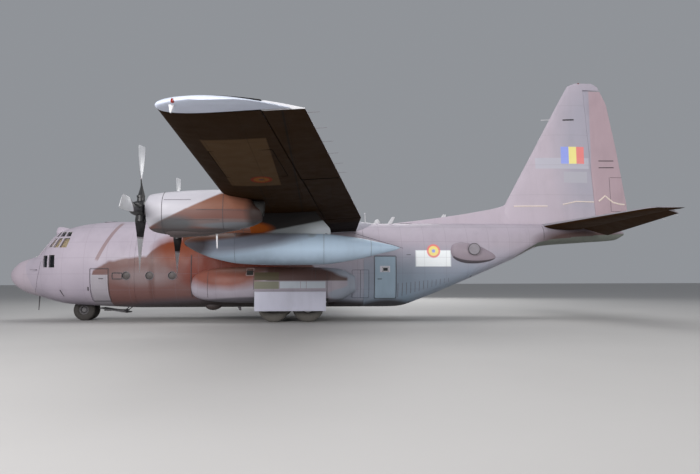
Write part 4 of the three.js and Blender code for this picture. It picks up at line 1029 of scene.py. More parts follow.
def wing_segment(inner, outer, swing=None):
    """Left-hand stretch of the fixed wing."""
    return loft([wing_ring(-y, swing) for y in steps(inner, outer, 0.6)])


def surface_ring(y):
    s = wing_at(-y)
    hinge, radius = wing_hinge(s)
    x, z = nose_arc(hinge, radius)
    f = np.linspace(WING["hinge"], 1, 9)[1:]
    return np.vstack((points_at(x, -y, z), foil(s, f, -1), foil(s, f[::-1], 1)))


def wing_surface(ends):
    """Left-hand flap or aileron: a round nose about its hinge line and the foil behind it."""
    return loft([surface_ring(y) for y in steps(ends[0] + END_CLEAR, ends[1] - END_CLEAR, 0.6)])


TIP = np.array([
    # distance from the middle, chord shares cut off in front and behind, share of the thickness, drop
    [19.20, 0.00, 0.10, 1.00, 0.00], [19.40, 0.01, 0.13, 0.90, 0.05], [19.60, 0.03, 0.16, 0.78, 0.09],
    [19.95, 0.12, 0.24, 0.52, 0.15], [20.12, 0.21, 0.32, 0.33, 0.17], [20.2, 0.30, 0.40, 0.14, 0.18],
])


def tip_cap():
    """Left-hand rounded and drooped wing tip."""
    rings = []
    end = [19.97, 20.03, 20.08, 20.12, 20.15, 20.18, 20.195, 20.2]
    places = np.concatenate((steps(19.2, 19.9, 0.1), end))
    for y, (front, back, thick, drop) in zip(places, smooth_rows(TIP, places)):
        s, ring = wing_at(-y), wing_ring(-y)
        ring[:, 0] = s["front"] + front * s["chord"] + (ring[:, 0] - s["front"]) * (1 - front - back)
        ring[:, 2] = s["height"] - drop + (ring[:, 2] - s["height"]) * thick
        rings.append(ring)
    return loft(rings)


WING_LINES = (("x", 0.94), ("y", 1.22))
# Distance from the middle and height of the propeller axes
ENGINES = {"outer": (10.2, 4.18), "inner": (4.95, 3.95)}
EXHAUST_SOOT = [
    Mark((0.07, 0.065, 0.065), 0.65, (12.6, 17.0), (y - 0.55, y + 0.55), soft=0.5, ragged=0.4)
    for y, _ in reversed(ENGINES.values())
]
# Painted shade on the wing's underside: darker by the fuselage, and the repainted patch and roundel dimmed to
# match; then two dark lines.
UNDER_MARKS = [
    stamp((0.008, 0.007, 0.007), (10.0, 18.0), y=(0.0, 4.6), strength=0.8, soft=0.1),
    stamp((0.070, 0.040, 0.018), (12.15, 13.57), y=(12.5, 17.35), soft=0.02),
    *rings(13.08, y=13.3, radius=0.30, flat=1.3, shading=(0.20, 0.09, 0.05)),
    stamp((0.008, 0.006, 0.005), (14.02, 14.06), y=(6.0, 19.1), strength=0.8),
    stamp((0.010, 0.008, 0.006), (12.9, 12.95), y=(6.0, 12.4), strength=0.5),
]
wing_look = painted("wing_paint", (0.34, 0.33, 0.38), 0.5, WING_LINES, EXHAUST_SOOT)
underside_shade_look = painted("wing_under_shade", UNDERSIDE_SHADE, 0.7, WING_LINES, UNDER_MARKS, streak=0.2, gloss=0.05)
# Near black: painted shade in the slots round the flaps and ailerons, and the dark joint lines round the
# wing's hatches.
gap_look = painted("wing_gap_shade_and_joints", (0.005, 0.004, 0.003), 0.8, streak=0.0, gloss=0.03)
tip_look = painted("wing_tip_paint", (0.55, 0.60, 0.72), 0.42)


def in_cove(centre, normal):
    """True for the faces of the fixed wing round its flaps and ailerons, not for its front edge."""
    back = centre.x > -0.6
    return normal.x > 0.3 or abs(normal.y) > 0.9 or (normal.x < -0.5 and back)


def at_cove(_, normal):
    """True for the front and the ends of a flap or aileron."""
    return normal.x < -0.5 or abs(normal.y) > 0.9


def make_wing():
    full = loft([wing_ring(y) for y in steps(-FLAP_INNER[0], FLAP_INNER[0], 0.35)])
    inner = both_sides(wing_segment(*FLAP_INNER, FLAP_SWING))
    # Faces that look down get a painted shade, and the faces in the slots round the flaps and ailerons a
    # near-black painted shade.
    fixed = [(underside_shade_look, facing_down), (gap_look, in_cove)]
    moving = [(underside_shade_look, facing_down), (gap_look, at_cove)]
    piece("wing_centre_skin", merge(full, inner), wing_look, replaces=["wing_centre"], others=fixed)
    outer = merge(wing_segment(5.598, 13.0, FLAP_SWING), wing_segment(*AILERON, AILERON_SWING))
    pair("wing_outer_skin", outer, wing_look, replaces="wing_outer", others=fixed)
    pair("wing_tip", tip_cap(), tip_look, sharp=60)
    for part, ends in (("flap_inner", FLAP_INNER), ("flap_outer", FLAP_OUTER), ("aileron", AILERON)):
        pair(f"{part}_skin", wing_surface(ends), wing_look, body=part, replaces=part, others=moving)
    end = AILERON[1] - END_CLEAR
    plate = loft([surface_ring(y) for y in (end - 0.002, end + 0.018)])
    pair("aileron_end", plate, fitting_look, body="aileron")


make_wing()

# Fairing over the wing root: x, half width, top
FAIRING = np.array([
    [10.15, 0.50, 4.66], [10.70, 1.05, 4.78], [11.40, 1.50, 4.95], [12.40, 1.72, 5.06],
    [13.60, 1.72, 5.02], [15.00, 1.62, 4.86], [16.30, 1.38, 4.70], [17.05, 0.95, 4.62],
])


def make_fairing():
    places = steps(10.15, 17.05, 0.15)
    rings = [
        oval(x, 0, half, 3.7, (3.7 + top) / 2, top, 2.2, 2.2, full_turn(64))
        for x, (half, top) in zip(places, smooth_rows(FAIRING, places))
    ]
    piece("wing_fairing", loft(rings), wing_look, cut=fuselage(10.0, 17.3, 0.4, WALL))


make_fairing()

# Engines

NACELLE = np.array([
    # x, half width, bottom and top above the propeller axis
    [9.145, 0.36, -0.42, 0.27], [9.16, 0.43, -0.52, 0.36], [9.185, 0.46, -0.61, 0.41],
    [9.235, 0.50, -0.70, 0.445], [9.40, 0.55, -0.78, 0.48], [9.80, 0.61, -0.84, 0.53],
    [10.8, 0.61, -0.85, 0.60], [11.7, 0.56, -0.74, 0.62], [12.4, 0.44, -0.60, 0.36],
    [12.6, 0.36, -0.53, 0.10], [12.8, 0.20, -0.42, -0.02],
])
# Upper edges of the painted shadow on a nacelle, orange and then mauve below them, as lines of (x, z) points
NACELLE_LINE = [(8.9, 3.33), (9.26, 3.55), (11.5, 4.63), (13.2, 4.9)]
MAUVE_LINE = [(8.9, 3.33), (9.26, 3.55), (10.44, 4.12), (13.2, 4.12)]
# Painted light and shade of the outer nacelle: grey and blue-grey lit bands along its side, a dark rear end,
# a slate patch in front and a dark shade underneath.
NACELLE_MARKS = [
    Mark((0.135, 0.110, 0.110), 0.8, (10.0, 13.6), None, (3.54, 3.80), 0.25),
    Mark((0.120, 0.145, 0.165), 0.7, (10.9, 13.6), None, (3.46, 3.70), 0.2),
    Mark((0.020, 0.018, 0.018), 0.8, (12.35, 13.6), None, (3.2, 4.8), 0.2),
    Mark((0.062, 0.075, 0.082), 0.8, (9.5, 10.7), None, (3.38, 3.88), 0.35),
    stamp((0.060, 0.051, 0.052), (8.4, 13.6), (2.0, 3.50), strength=0.9, soft=0.035),
]
NACELLE_SHADES = [
    (NACELLE_LINE, (0.165, 0.055, 0.024), 0.03, 0.03), (MAUVE_LINE, (0.130, 0.062, 0.052), 0.04, 0.05),
]
# Inner nacelle: a dark painted shade underneath and an orange painted shadow below a line.
INNER_MARKS = [stamp((0.050, 0.030, 0.024), (8.4, 13.6), (2.0, 3.34), strength=0.9, soft=0.05)]
INNER_SHADES = [([(8.9, 3.9), (13.4, 4.4)], (0.150, 0.040, 0.010), 0.2, 0.2)]


def nacelle_look(name, marks, shades):
    return painted(name, (0.44, 0.43, 0.47), 0.42, marks=marks, shades=shades, streak=0.1)


NACELLE_LOOKS = {
    "outer": nacelle_look("outer_nacelle_colour_and_shade", NACELLE_MARKS, NACELLE_SHADES),
    "inner": nacelle_look("inner_nacelle_colour_and_shade", INNER_MARKS, INNER_SHADES),
}


def nacelle_rings(places, y, z, grow=0.0, sides=56):
    return [
        oval(x, y, half + grow, z + low - grow, z - 0.1, z + top + grow, 2.2, 2.4, full_turn(sides))
        for x, (half, low, top) in zip(places, smooth_rows(NACELLE, places))
    ]


def nacelle_half(x, rise):
    """Distance of a nacelle's side from its axis, at a height over the axis."""
    half, low, top = smooth_rows(NACELLE, [x])[0]
    share, power = ((rise + 0.1) / (top + 0.1), 2.2) if rise > -0.1 else ((-0.1 - rise) / (-0.1 - low), 2.4)
    return half * max(0.0, 1 - min(1.0, share) ** power) ** (1 / power)


def scoop(y, z):
    """Cooler scoop under a nacelle, open in front."""
    rows = np.array([
        [9.72, 0.27, -0.875], [9.80, 0.32, -0.91], [10.05, 0.35, -0.945], [10.45, 0.34, -0.92],
        [10.9, 0.30, -0.895], [11.5, 0.24, -0.80], [12.1, 0.16, -0.68],
    ])
    places = steps(9.72, 12.1, 0.1)
    return loft([
        oval(x, y, half, z + low, z - 0.66, z - 0.45, 2.4, 2.8, full_turn(32))
        for x, (half, low) in zip(places, smooth_rows(rows, places))
    ])


def make_nacelle(name, side, word):
    y, z = ENGINES[name]
    y *= side
    lip = [9.145, 9.152, 9.16, 9.172, 9.185, 9.21, 9.235, 9.31]
    places = np.concatenate((lip, steps(9.40, 12.8, 0.15)))
    corners = ((-0.18, -0.45), (0.18, -0.45), (0.18, -0.27), (-0.18, -0.27))
    intake = rounded([(9.0, y + wide, z + high) for wide, high in corners], 0.07)
    hollow = loft([intake, intake * [0, 1, 1] + [9.75, 0, 0]])
    shaft = rod((8.95, y, z), (9.5, y, z), 0.15, sides=28)
    # x, half width, bottom and top of the room for the engine
    room = ((9.36, 0.37, -0.30, 0.33), (9.7, 0.46, -0.55, 0.39), (11.2, 0.45, -0.5, 0.47))
    bay = loft([
        oval(x, y, half, z + low, z - 0.1, z + top, 2.2, 2.4, full_turn(32)) for x, half, low, top in room
    ])
    piece(
        f"nacelle_{name}_skin_{word}", loft(nacelle_rings(places, y, z)), NACELLE_LOOKS[name],
        replaces=[f"nacelle_{name}_{word}"], cut=merge(bay, shaft, hollow),
    )
    mouth = loft([
        oval(x, y, 0.24, z - 0.92, z - 0.86, z - 0.78, 2.4, 2.6, full_turn(24)) for x in (9.5, 10.0)
    ])
    piece(f"scoop_{name}_{word}", scoop(y, z), NACELLE_LOOKS[name], cut=mouth)
    exhaust = [(0.24, 0), (0.25, 0.5), (0.235, 0.52), (0.22, 0.5), (0.2, 0.1), (1e-4, 0.08)]
    outlet = turned(exhaust, (12.35, y, z + 0.02), (1, 0, -0.06), 32)
    piece(f"exhaust_{name}_{word}", outlet, dark_look, slot="engine_steel")
    collar = [(0.20, 0), (0.27, 0.005), (0.295, 0.025), (0.30, 0.07), (1e-4, 0.10)]
    piece(f"collar_{name}_{word}", turned(collar, (9.085, y, z), (1, 0, 0), 40), NACELLE_LOOKS[name])


BLADE = np.array([
    # radius, chord, thickness, angle from the disc
    [0.20, 0.30, 0.170, 62], [0.32, 0.34, 0.150, 58], [0.45, 0.37, 0.125, 48], [0.60, 0.38, 0.100, 34],
    [0.80, 0.40, 0.075, 20], [0.93, 0.41, 0.065, 14.5], [1.11, 0.43, 0.058, 6], [1.485, 0.45, 0.045, -4.5],
    [1.80, 0.435, 0.034, -11], [2.03, 0.41, 0.024, -14], [2.055, 0.36, 0.014, -14],
])
PROP_X = 8.885
BOOT_END = 0.93
BOOT_EDGE = 0.98


def blade(y, z, turn):
    """One blade from hub to tip, turned about the propeller axis."""
    inner, outer = steps(0.20, 0.86, 0.06), steps(1.08, 1.9, 0.1)
    places = np.concatenate((inner, [BOOT_END, BOOT_EDGE], outer, [1.95, 2.0, 2.03, 2.045, 2.055]))
    around = np.linspace(0, 2 * PI, 20, endpoint=False)
    along = 0.5 * np.cos(around)
    through = 0.5 * np.sin(around) * (0.55 + 0.45 * np.sign(np.cos(around)) * -np.abs(np.cos(around)))
    rings = []
    for radius, (chord, thick, angle) in zip(places, smooth_rows(BLADE, places)):
        pitch = math.radians(angle)
        side = along * chord * math.cos(pitch) + through * thick * math.sin(pitch)
        aft = through * thick * math.cos(pitch) - along * chord * math.sin(pitch)
        across_y = side * math.cos(turn) - radius * math.sin(turn)
        across_z = side * math.sin(turn) + radius * math.cos(turn)
        rings.append(np.column_stack((PROP_X + aft, y + across_y, z + across_z)))
    return loft(rings)


def blade_look():
    look = Look("blade_paint", (0.76, 0.78, 0.81), 0.38)
    look.mix(look.noise(3.0, 6, 0.4, 0.8), (0.52, 0.52, 0.55), 0.4)
    look.mix(look.noise(20.0, 3, 0.55, 0.7), (0.8, 0.8, 0.8), 0.5)
    look.lower(look.noise(100.0, 2, 0.2, 0.8), 0.0001)
    return look.finished()


blade_paint = blade_look()
blade_back = plain("blade_back_paint", (0.060, 0.056, 0.060), 0.5)


def make_propeller(name, side, word):
    y, z = ENGINES[name]
    y *= side
    body = f"propeller_{name}_{word}"
    blades = merge(*[blade(y, z, k * PI / 2) for k in range(4)])

    def within(radius):
        return lambda centre, _: math.hypot(centre.y / SCALE - y, centre.z / SCALE - z) < radius

    faces = [
        (blade_back, lambda _, normal: normal.x < -0.1),
        (frame_look, within(BOOT_EDGE)), (black_look, within(BOOT_END)),
    ]
    piece(
        f"blades_{name}_{word}", blades, blade_paint, body=body, slot="propeller_metal",
        replaces=[body], others=faces,
    )
    hub_profile = [
        (1e-4, -0.385), (0.05, -0.38), (0.11, -0.355), (0.17, -0.30), (0.215, -0.22),
        (0.25, -0.10), (0.265, 0.0), (0.265, 0.11), (0.25, 0.12), (1e-4, 0.12),
    ]
    centre = np.array([PROP_X, y, z])
    boots = []
    for k in range(4):
        way = np.array([0, -math.sin(k * PI / 2), math.cos(k * PI / 2)])
        boots.append(rod(centre + way * 0.2, centre + way * 0.40, 0.125, 0.115, 24))
        boots.append(rod(centre + way * 0.36, centre + way * 0.42, 0.135, 0.135, 24))
    shaft = rod((PROP_X + 0.1, y, z), (9.54, y, z), 0.125, sides=24)
    hub = turned(hub_profile, (PROP_X, y, z), (1, 0, 0), 48)
    piece(f"hub_{name}_{word}", merge(hub, shaft, *boots), black_look, body=body, slot="propeller_metal")


ENGINE_SIDES = [(engine, side, word) for engine in ENGINES for side, word in SIDES]
for engine, side, word in ENGINE_SIDES:
    make_nacelle(engine, side, word)
    make_propeller(engine, side, word)

# Wing tanks

TANK_Y = 7.6
TANK = np.array([
    [9.74, 0.012, 3.22, 3.245], [9.80, 0.10, 3.13, 3.31], [10.1, 0.27, 2.93, 3.42], [10.8, 0.45, 2.65, 3.54],
    [11.8, 0.565, 2.45, 3.58], [13.0, 0.585, 2.40, 3.57], [14.6, 0.57, 2.41, 3.55], [15.9, 0.42, 2.58, 3.42],
    [17.0, 0.18, 2.84, 3.20], [17.4, 0.09, 2.93, 3.11], [17.6, 0.012, 3.01, 3.035],
])
# Painted light and shade on the tank: a purple shadow band, a dark shadow on the nose, an orange reflection
# along the top front, and a grey spot.
TANK_MARKS = [
    Mark((0.235, 0.245, 0.305), 0.85, (9.6, 14.2), None, (2.90, 3.70), 0.3, turn=-0.14),
    Mark((0.046, 0.034, 0.038), 0.9, (9.2, 10.75), None, (2.6, 3.7), 0.3),
    Mark((0.160, 0.050, 0.014), 0.9, (9.7, 13.3), None, (3.36, 3.80), 0.25, turn=-0.13),
    Mark((0.24, 0.26, 0.27), 0.5, (14.2, 14.55), None, (3.38, 3.60), 0.4, ragged=0.6),
]
# Painted shade on the tank's lower part: colour, height and softness
TANK_LOW_SHADE = ((0.135, 0.165, 0.205), 2.66, 0.28)
tank_look = painted("tank_paint", (0.46, 0.59, 0.73), 0.36, marks=TANK_MARKS, low=TANK_LOW_SHADE)
tank_line_look = plain("tank_lines", (0.15, 0.17, 0.20), 0.5)
# The pylon is painted in light and shade: near black in shadow, lighter below PYLON_LINE, with a painted
# highlight towards the rear and orange light in front.
PYLON_LINE = [(11.0, 3.22), (12.6, 3.60), (15.1, 4.12), (17.0, 4.2)]
PYLON_MARKS = [
    Mark((0.46, 0.50, 0.54), 0.9, (14.1, 15.8), None, (3.3, 3.86), 0.4),
    Mark((0.30, 0.070, 0.008), 1.0, (11.0, 12.9), None, (3.48, 3.98), 0.2),
]
PYLON_SHADES = [(PYLON_LINE, (0.26, 0.285, 0.30), 0.03, 0.03)]
pylon_look = painted(
    "pylon_light_and_shade", (0.020, 0.018, 0.018), 0.5, marks=PYLON_MARKS, shades=PYLON_SHADES, gloss=0.1,
)


def tank_ring(x, side, half, low, top):
    return oval(x, side * TANK_Y, half, low, (low + top) / 2, top, 2, 2, full_turn(48))


def make_tank(side, word):
    nose, tail = [9.74, 9.75, 9.77, 9.80, 9.86, 9.95], [17.5, 17.56, 17.6]
    places = np.concatenate((nose, steps(10.1, 17.4, 0.15), tail))
    body = loft([tank_ring(x, side, *row) for x, row in zip(places, smooth_rows(TANK, places))])
    piece(f"tank_shell_{word}", body, tank_look, slot="tank_paint", replaces=[f"tank_{word}"])
    corners = [(12.2, 3.3), (15.05, 3.3), (15.05, 3.72), (14.55, 4.3), (14.4, 4.62), (11.95, 4.62)]
    outline = rounded(corners, 0.08)
    middle = outline.mean(axis=0)
    rings = [
        [(x, side * TANK_Y + half, z) for x, z in (outline - middle) * grow + middle]
        for half, grow in ((-0.09, 0.97), (-0.07, 1.0), (0.07, 1.0), (0.09, 0.97))
    ]
    piece(f"pylon_{word}", loft(rings), pylon_look, slot="tank_paint", sharp=50)


for side, word in SIDES:
    make_tank(side, word)

# Fin, rudder and dorsal fillet

FIN = np.array([
    # height, front, tail, thickness
    [4.40, 23.40, 29.84, 0.64], [5.42, 23.64, 29.83, 0.60], [8.34, 25.24, 29.36, 0.44],
    [10.61, 26.47, 28.93, 0.27], [11.50, 26.98, 28.50, 0.16], [11.66, 27.35, 28.20, 0.06],
])
DORSAL = np.array([
    # x, height, half width at the foot
    [18.14, 4.60, 0.05], [20.2, 4.86, 0.13], [22.22, 5.17, 0.20], [23.67, 5.50, 0.26], [24.60, 6.60, 0.22],
])
RUDDER = dict(low=4.74, high=11.30, hinge_low=28.30, hinge_high=27.79)


def rows_at(table, place):
    """Straight between the rows of a table."""
    return [float(np.interp(place, table[:, 0], table[:, k])) for k in range(1, table.shape[1])]


def fin_half(f, thick):
    return np.maximum(half_foil(f) * thick, TAIL_EDGE / 2)


def rudder_hinge(z):
    front, tail, thick = rows_at(FIN, z)
    share = (z - RUDDER["low"]) / (RUDDER["high"] - RUDDER["low"])
    x = RUDDER["hinge_low"] + share * (RUDDER["hinge_high"] - RUDDER["hinge_low"])
    return x, float(half_foil((x - front) / (tail - front)) * thick), front, tail


def fin_line(z, f, side):
    """Points of one side of the fin's section at shares f of its chord."""
    front, tail, thick = rows_at(FIN, z)
    return points_at(front + f * (tail - front), side * fin_half(f, thick), z)


def fin_ring(z, cove):
    front, tail, _ = rows_at(FIN, z)
    back = 1.0
    if cove:
        x, radius = rudder_hinge(z)[:2]
        back = (x - (radius + HINGE_GAP) * math.sin(RUDDER_SWING) - front) / (tail - front)
    f = back * np.linspace(0, 1, 20) ** 2
    ring = [fin_line(z, f[::-1], 1), fin_line(z, f[1:], -1)]
    if cove:
        ring.append(points_at(*nose_arc((x, 0), radius + HINGE_GAP, RUDDER_SWING), z)[::-1])
    return np.vstack(ring)


FIN_MARKS = [
    Mark((0.33, 0.345, 0.42), 0.6, (26.4, 29.4), None, (4.9, 11.8), 0.4),
    stamp((0.50, 0.50, 0.57), (25.22, 27.9), (7.31, 7.85), strength=0.85),
    stamp((0.46, 0.46, 0.51), (26.61, 27.80), (6.61, 7.16), strength=0.8),
    stamp(STRIPE_BLUE, (26.49, 26.89), (7.56, 8.41), strength=0.85),
    stamp(STRIPE_YELLOW, (26.89, 27.28), (7.56, 8.41), strength=0.9),
    stamp(STRIPE_RED, (27.28, 27.67), (7.56, 8.41), strength=0.85),
]
fin_look = painted("fin_paint", (0.495, 0.435, 0.495), 0.48, [("z", 1.5)], FIN_MARKS)
RUDDER_FRONT = stamp((0.375, 0.360, 0.43), (26.0, 28.03), (4.0, 12.0), strength=0.95, soft=0.02)
rudder_look = painted("rudder_paint", (0.445, 0.335, 0.375), 0.5, marks=[RUDDER_FRONT])
pale_line_look = plain("sealant", (0.80, 0.70, 0.62), 0.6)
blister_look = painted("blister_paint", (0.32, 0.27, 0.31), 0.45)
blister_shade_look = painted("blister_underside_shade", (0.11, 0.095, 0.11), 0.5)
fitting_dark = plain("blister_head_paint", (0.27, 0.25, 0.28), 0.4)


def make_fin():
    low, top = RUDDER["low"], RUDDER["high"]
    lower = loft([fin_ring(z, True) for z in steps(low - 0.34, top, 0.25)])
    cap_heights = np.concatenate((steps(top, 11.5, 0.05), [11.56, 11.61, 11.645, 11.66]))
    cap = loft([fin_ring(z, False) for z in cap_heights])
    inside = fuselage(18, 29.5, 0.4, 0.05)
    piece("fin_skin", lower, fin_look, slot="tail_paint", replaces=["fin"], cut=inside)
    piece("fin_cap", cap, fin_look, slot="tail_paint")
    fillet = []
    for x in steps(18.14, 24.6, 0.25):
        height, foot = smooth_rows(DORSAL, [x])[0]
        heights = np.linspace(4.2, height - 0.02, 12)
        half = foot + (0.03 - foot) * ((heights - 4.2) / (height - 4.2)) ** 1.3
        right = points_at(x, half, heights)
        fillet.append(np.vstack((right, [(x, 0, height)], right[::-1] * [1, -1, 1])))
    inside = fuselage(17.8, 25.5, 0.4, 0.04)
    piece("dorsal_fillet", loft(fillet), fin_look, slot="tail_paint", cut=inside)
    rings = []
    for z in steps(low + END_CLEAR, top - END_CLEAR, 0.25):
        x, radius, front, tail = rudder_hinge(z)
        f = np.linspace((x - front) / (tail - front), 1, 10)[1:]
        nose = points_at(*nose_arc((x, 0), radius), z)
        rings.append(np.vstack((nose, fin_line(z, f, -1), fin_line(z, f[::-1], 1))))
    piece("rudder_skin", loft(rings), rudder_look, body="rudder", slot="tail_paint", replaces=["rudder"])


make_fin()

# Tailplane and elevators

TAILPLANE = np.array([
    # distance from the middle, front, tail, hinge, height, thickness
    [0, 25.18, 28.52, 27.25, 4.42, 0.40], [0.9, 25.39, 28.50, 27.30, 4.42, 0.38],
    [7.6, 26.94, 28.22, 27.80, 4.50, 0.17], [8.03, 27.15, 28.16, 27.85, 4.50, 0.10],
])
ELEVATOR = (0.85, 7.6)
DROOP = math.radians(22)


def tail_ring(y, cove=False, shrink=1.0):
    front, tail, hinge, height, thick = rows_at(TAILPLANE, abs(y))
    back, radius = 1.0, float(half_foil((hinge - front) / (tail - front)) * thick)
    if cove:
        back = (hinge - (radius + HINGE_GAP) * math.sin(ELEVATOR_SWING) - front) / (tail - front)
    f = back * np.linspace(0, 1, 18) ** 2
    ring = [
        points_at(front + s * (tail - front), y, height + way * shrink * fin_half(s, thick))
        for s, way in ((f[::-1], 1), (f[1:], -1))
    ]
    if cove:
        x, z = nose_arc((hinge, height), radius + HINGE_GAP, ELEVATOR_SWING)
        ring.append(points_at(x, y, z)[::-1])
    return np.vstack(ring)


TAILPLANE_LINES = (("x", 0.8), ("y", 1.1))
tailplane_look = painted("tailplane_paint", (0.30, 0.285, 0.32), 0.52, TAILPLANE_LINES)
tail_underside_shade_look = painted("tailplane_under_shade", (0.036, 0.015, 0.004), 0.7, TAILPLANE_LINES, gloss=0.05)


def make_tailplane():
    inner, outer = ELEVATOR
    middle = loft([tail_ring(y) for y in steps(-inner, inner, 0.2)])
    arms = both_sides(loft([tail_ring(-y, True) for y in steps(inner, outer, 0.4)]))
    tip = []
    for t in np.linspace(0, 1, 9):
        end = outer + 0.43 * math.sin(t * PI / 2)
        tip.append(tail_ring(-end, shrink=max(0.08, math.cos(t * PI / 2 * 0.98))))
    # Faces that look down get a painted shade.
    both = [(tail_underside_shade_look, facing_down)]
    piece(
        "tailplane_skin", merge(middle, arms, both_sides(loft(tip))), tailplane_look, slot="tail_paint",
        replaces=["tailplane"], others=both,
    )
    rings = []
    for y in steps(inner + END_CLEAR, outer - END_CLEAR, 0.4):
        front, tail, hinge, height, thick = rows_at(TAILPLANE, y)
        radius = float(half_foil((hinge - front) / (tail - front)) * thick)
        x, z = nose_arc((0, 0), radius)
        f = np.linspace(0, 1, 8)[1:]
        along, half = f * (tail - hinge), radius + (TAIL_EDGE / 2 - radius) * f**1.15
        x = np.concatenate((x, along, along[::-1]))
        z = np.concatenate((z, -half, half[::-1]))
        turned_x = hinge + x * math.cos(DROOP) + z * math.sin(DROOP)
        turned_z = height - x * math.sin(DROOP) + z * math.cos(DROOP)
        rings.append(points_at(turned_x, -y, turned_z))
    pair(
        "elevator_skin", loft(rings), tailplane_look, body="elevator", slot="tail_paint",
        replaces="elevator", others=both,
    )


make_tailplane()

# Sponsons and main gear

SPONSON = np.array([
    # x, outermost y, bottom, top
    [8.88, 2.18, 1.45, 1.75], [8.95, 2.34, 1.22, 1.98], [9.3, 2.56, 1.02, 2.25],
    [10.2, 2.82, 0.88, 2.42], [11.5, 2.90, 0.84, 2.46], [14.95, 2.90, 0.84, 2.42],
    [15.6, 2.70, 0.98, 2.34], [16.0, 2.45, 1.20, 2.16], [16.2, 2.34, 1.35, 2.05],
])
SPONSON_TAIL = [
    # paler rear end: start, heights, softness
    Mark((0.285, 0.315, 0.375), 0.95, (start, 17.0), None, z, soft)
    for start, z, soft in (
        (14.65, (2.18, 2.9), 0.12), (15.15, (1.96, 2.9), 0.12), (15.0, (0.9, 1.52), 0.10),
        (15.5, (0.9, 1.66), 0.12), (15.85, (0.9, 2.6), 0.10),
    )
]
# Painted shade on the sponsons: a pink warm-lit shadow in front, dark brown shadows along the top and towards
# the rear, and the shade underneath; the rear end is paler.
SPONSON_MARKS = [
    Mark((0.205, 0.058, 0.034), 0.95, (8.6, 12.2), None, (1.45, 2.8), 0.25, ragged=0.2),
    Mark((0.10, 0.035, 0.018), 0.8, (9.3, 14.4), None, (2.10, 2.9), 0.35, ragged=0.2),
    stamp((0.075, 0.036, 0.028), (12.3, 15.9), (1.83, 2.8), strength=0.92, soft=0.05),
    *SPONSON_TAIL,
    Mark(UNDERBODY_SHADE, 0.85, (8.4, 16.8), None, (0.2, 1.14), 0.08),
]
sponson_look = painted("sponson_paint_and_shade", (0.33, 0.30, 0.345), 0.46, [("x", 0.84)], SPONSON_MARKS)
strip_look = painted("strip_paint", (0.435, 0.48, 0.535), 0.42)
intake_look = plain("intake_paint", (0.30, 0.20, 0.19), 0.5)
olive_look = painted("olive_plate", (0.20, 0.20, 0.15), 0.5)
ochre_look = painted("ochre_plate", (0.085, 0.070, 0.040), 0.5)


def sponson_y(x, z, lift=0.0):
    """Distance of a sponson's skin from the middle of the aircraft."""
    outer, low, top = smooth_rows(SPONSON, [x])[0]
    middle = (low + top) / 2
    share = min(1.0, abs(z - middle) / (top - middle))
    return 2.0 + (outer - 2.0) * (1 - share**2.6) ** (1 / 2.6) + lift


def make_sponsons():
    places = np.concatenate(([8.88, 8.9, 8.95, 9.05], steps(9.2, 16.2, 0.15)))
    rings = [
        oval(x, -2.0, outer - 2.0, low, (low + top) / 2, top, 2.6, 2.6, full_turn(56))
        for x, (outer, low, top) in zip(places, smooth_rows(SPONSON, places))
    ]
    holes = merge(fuselage(8, 17, 0.5, 0.01), MAIN_WELLS)
    pair("sponson_skin", loft(rings), sponson_look, replaces="sponson", cut=holes)


def make_gear_doors():
    heights = np.linspace(1.36, 0.51, 12)
    outward = 2.94 + 0.03 * np.sin((1.36 - heights) / 0.85 * PI)
    outer, inner = points_at(0, -outward - 0.05, heights), points_at(0, -outward, heights)
    ring = np.vstack((outer, inner[::-1]))
    door = loft([ring + [x, 0, 0] for x in steps(11.78, 14.89, 0.4)])
    pair("gear_door", door, gear_door_look, replaces="main_gear_door", bevel=0.012)
    bars = [box((x - 0.02, x + 0.02), (-2.945, -2.90), (0.56, 1.30)) for x in steps(12.0, 14.7, 0.45)]
    bars += [box((11.84, 14.83), (-2.945, -2.905), z) for z in ((1.27, 1.33), (0.55, 0.60))]
    pair("gear_door_ribs", merge(*bars), gear_door_look, bevel=0.008)


MAIN_WHEEL = dict(x=(12.57, 14.09), y=2.175, radius=0.71, half=0.25, rim=0.27)


def tyre_look(name, colour):
    look = Look(name, colour, 0.82)
    look.mix(look.noise(4.0, 6, 0.35, 0.75), [c * 0.85 for c in colour], 0.55)
    look.mix(look.noise(15.0, 4, 0.5, 0.7), [c * 1.3 for c in colour], 0.4)
    look.lower(look.noise(80.0, 3, 0.2, 0.8), 0.0006)
    return look.finished()


tyre_rubber = tyre_look("tyre_rubber", (0.105, 0.098, 0.088))
nose_rubber = tyre_look("nose_tyre_rubber", (0.040, 0.036, 0.033))
wheel_look = plain("wheel_paint", (0.70, 0.69, 0.68), 0.45, wear_and_sheen=0.3)
dark_wheel = plain("dark_wheel_paint", (0.105, 0.10, 0.105), 0.5)
nose_door_look = plain("nose_door_paint", (0.075, 0.072, 0.078), 0.5)


def tyre_profile(rim_radius, radius, half):
    """Tyre section with rounded shoulders and grooves round the tread, as (radius, along) pairs."""
    wall = [(rim_radius, -half * 0.72), (rim_radius + 0.03, -half * 0.83), (rim_radius + 0.12, -half)]
    bulge = [(radius - 0.22, -half * 1.0), (radius - 0.12, -half * 0.96), (radius - 0.045, -half * 0.83)]
    edge = [(radius - 0.010, -half * 0.66), (radius, -half * 0.55)]
    tread = []
    for middle in (-0.36, 0.0, 0.36):
        tread += [(radius, (middle - 0.09) * half), (radius - 0.022, (middle - 0.07) * half)]
        tread += [(radius - 0.022, (middle + 0.07) * half), (radius, (middle + 0.09) * half)]
    start = wall + bulge + edge
    return start + tread + [(r, -a) for r, a in reversed(start)] + [start[0]]


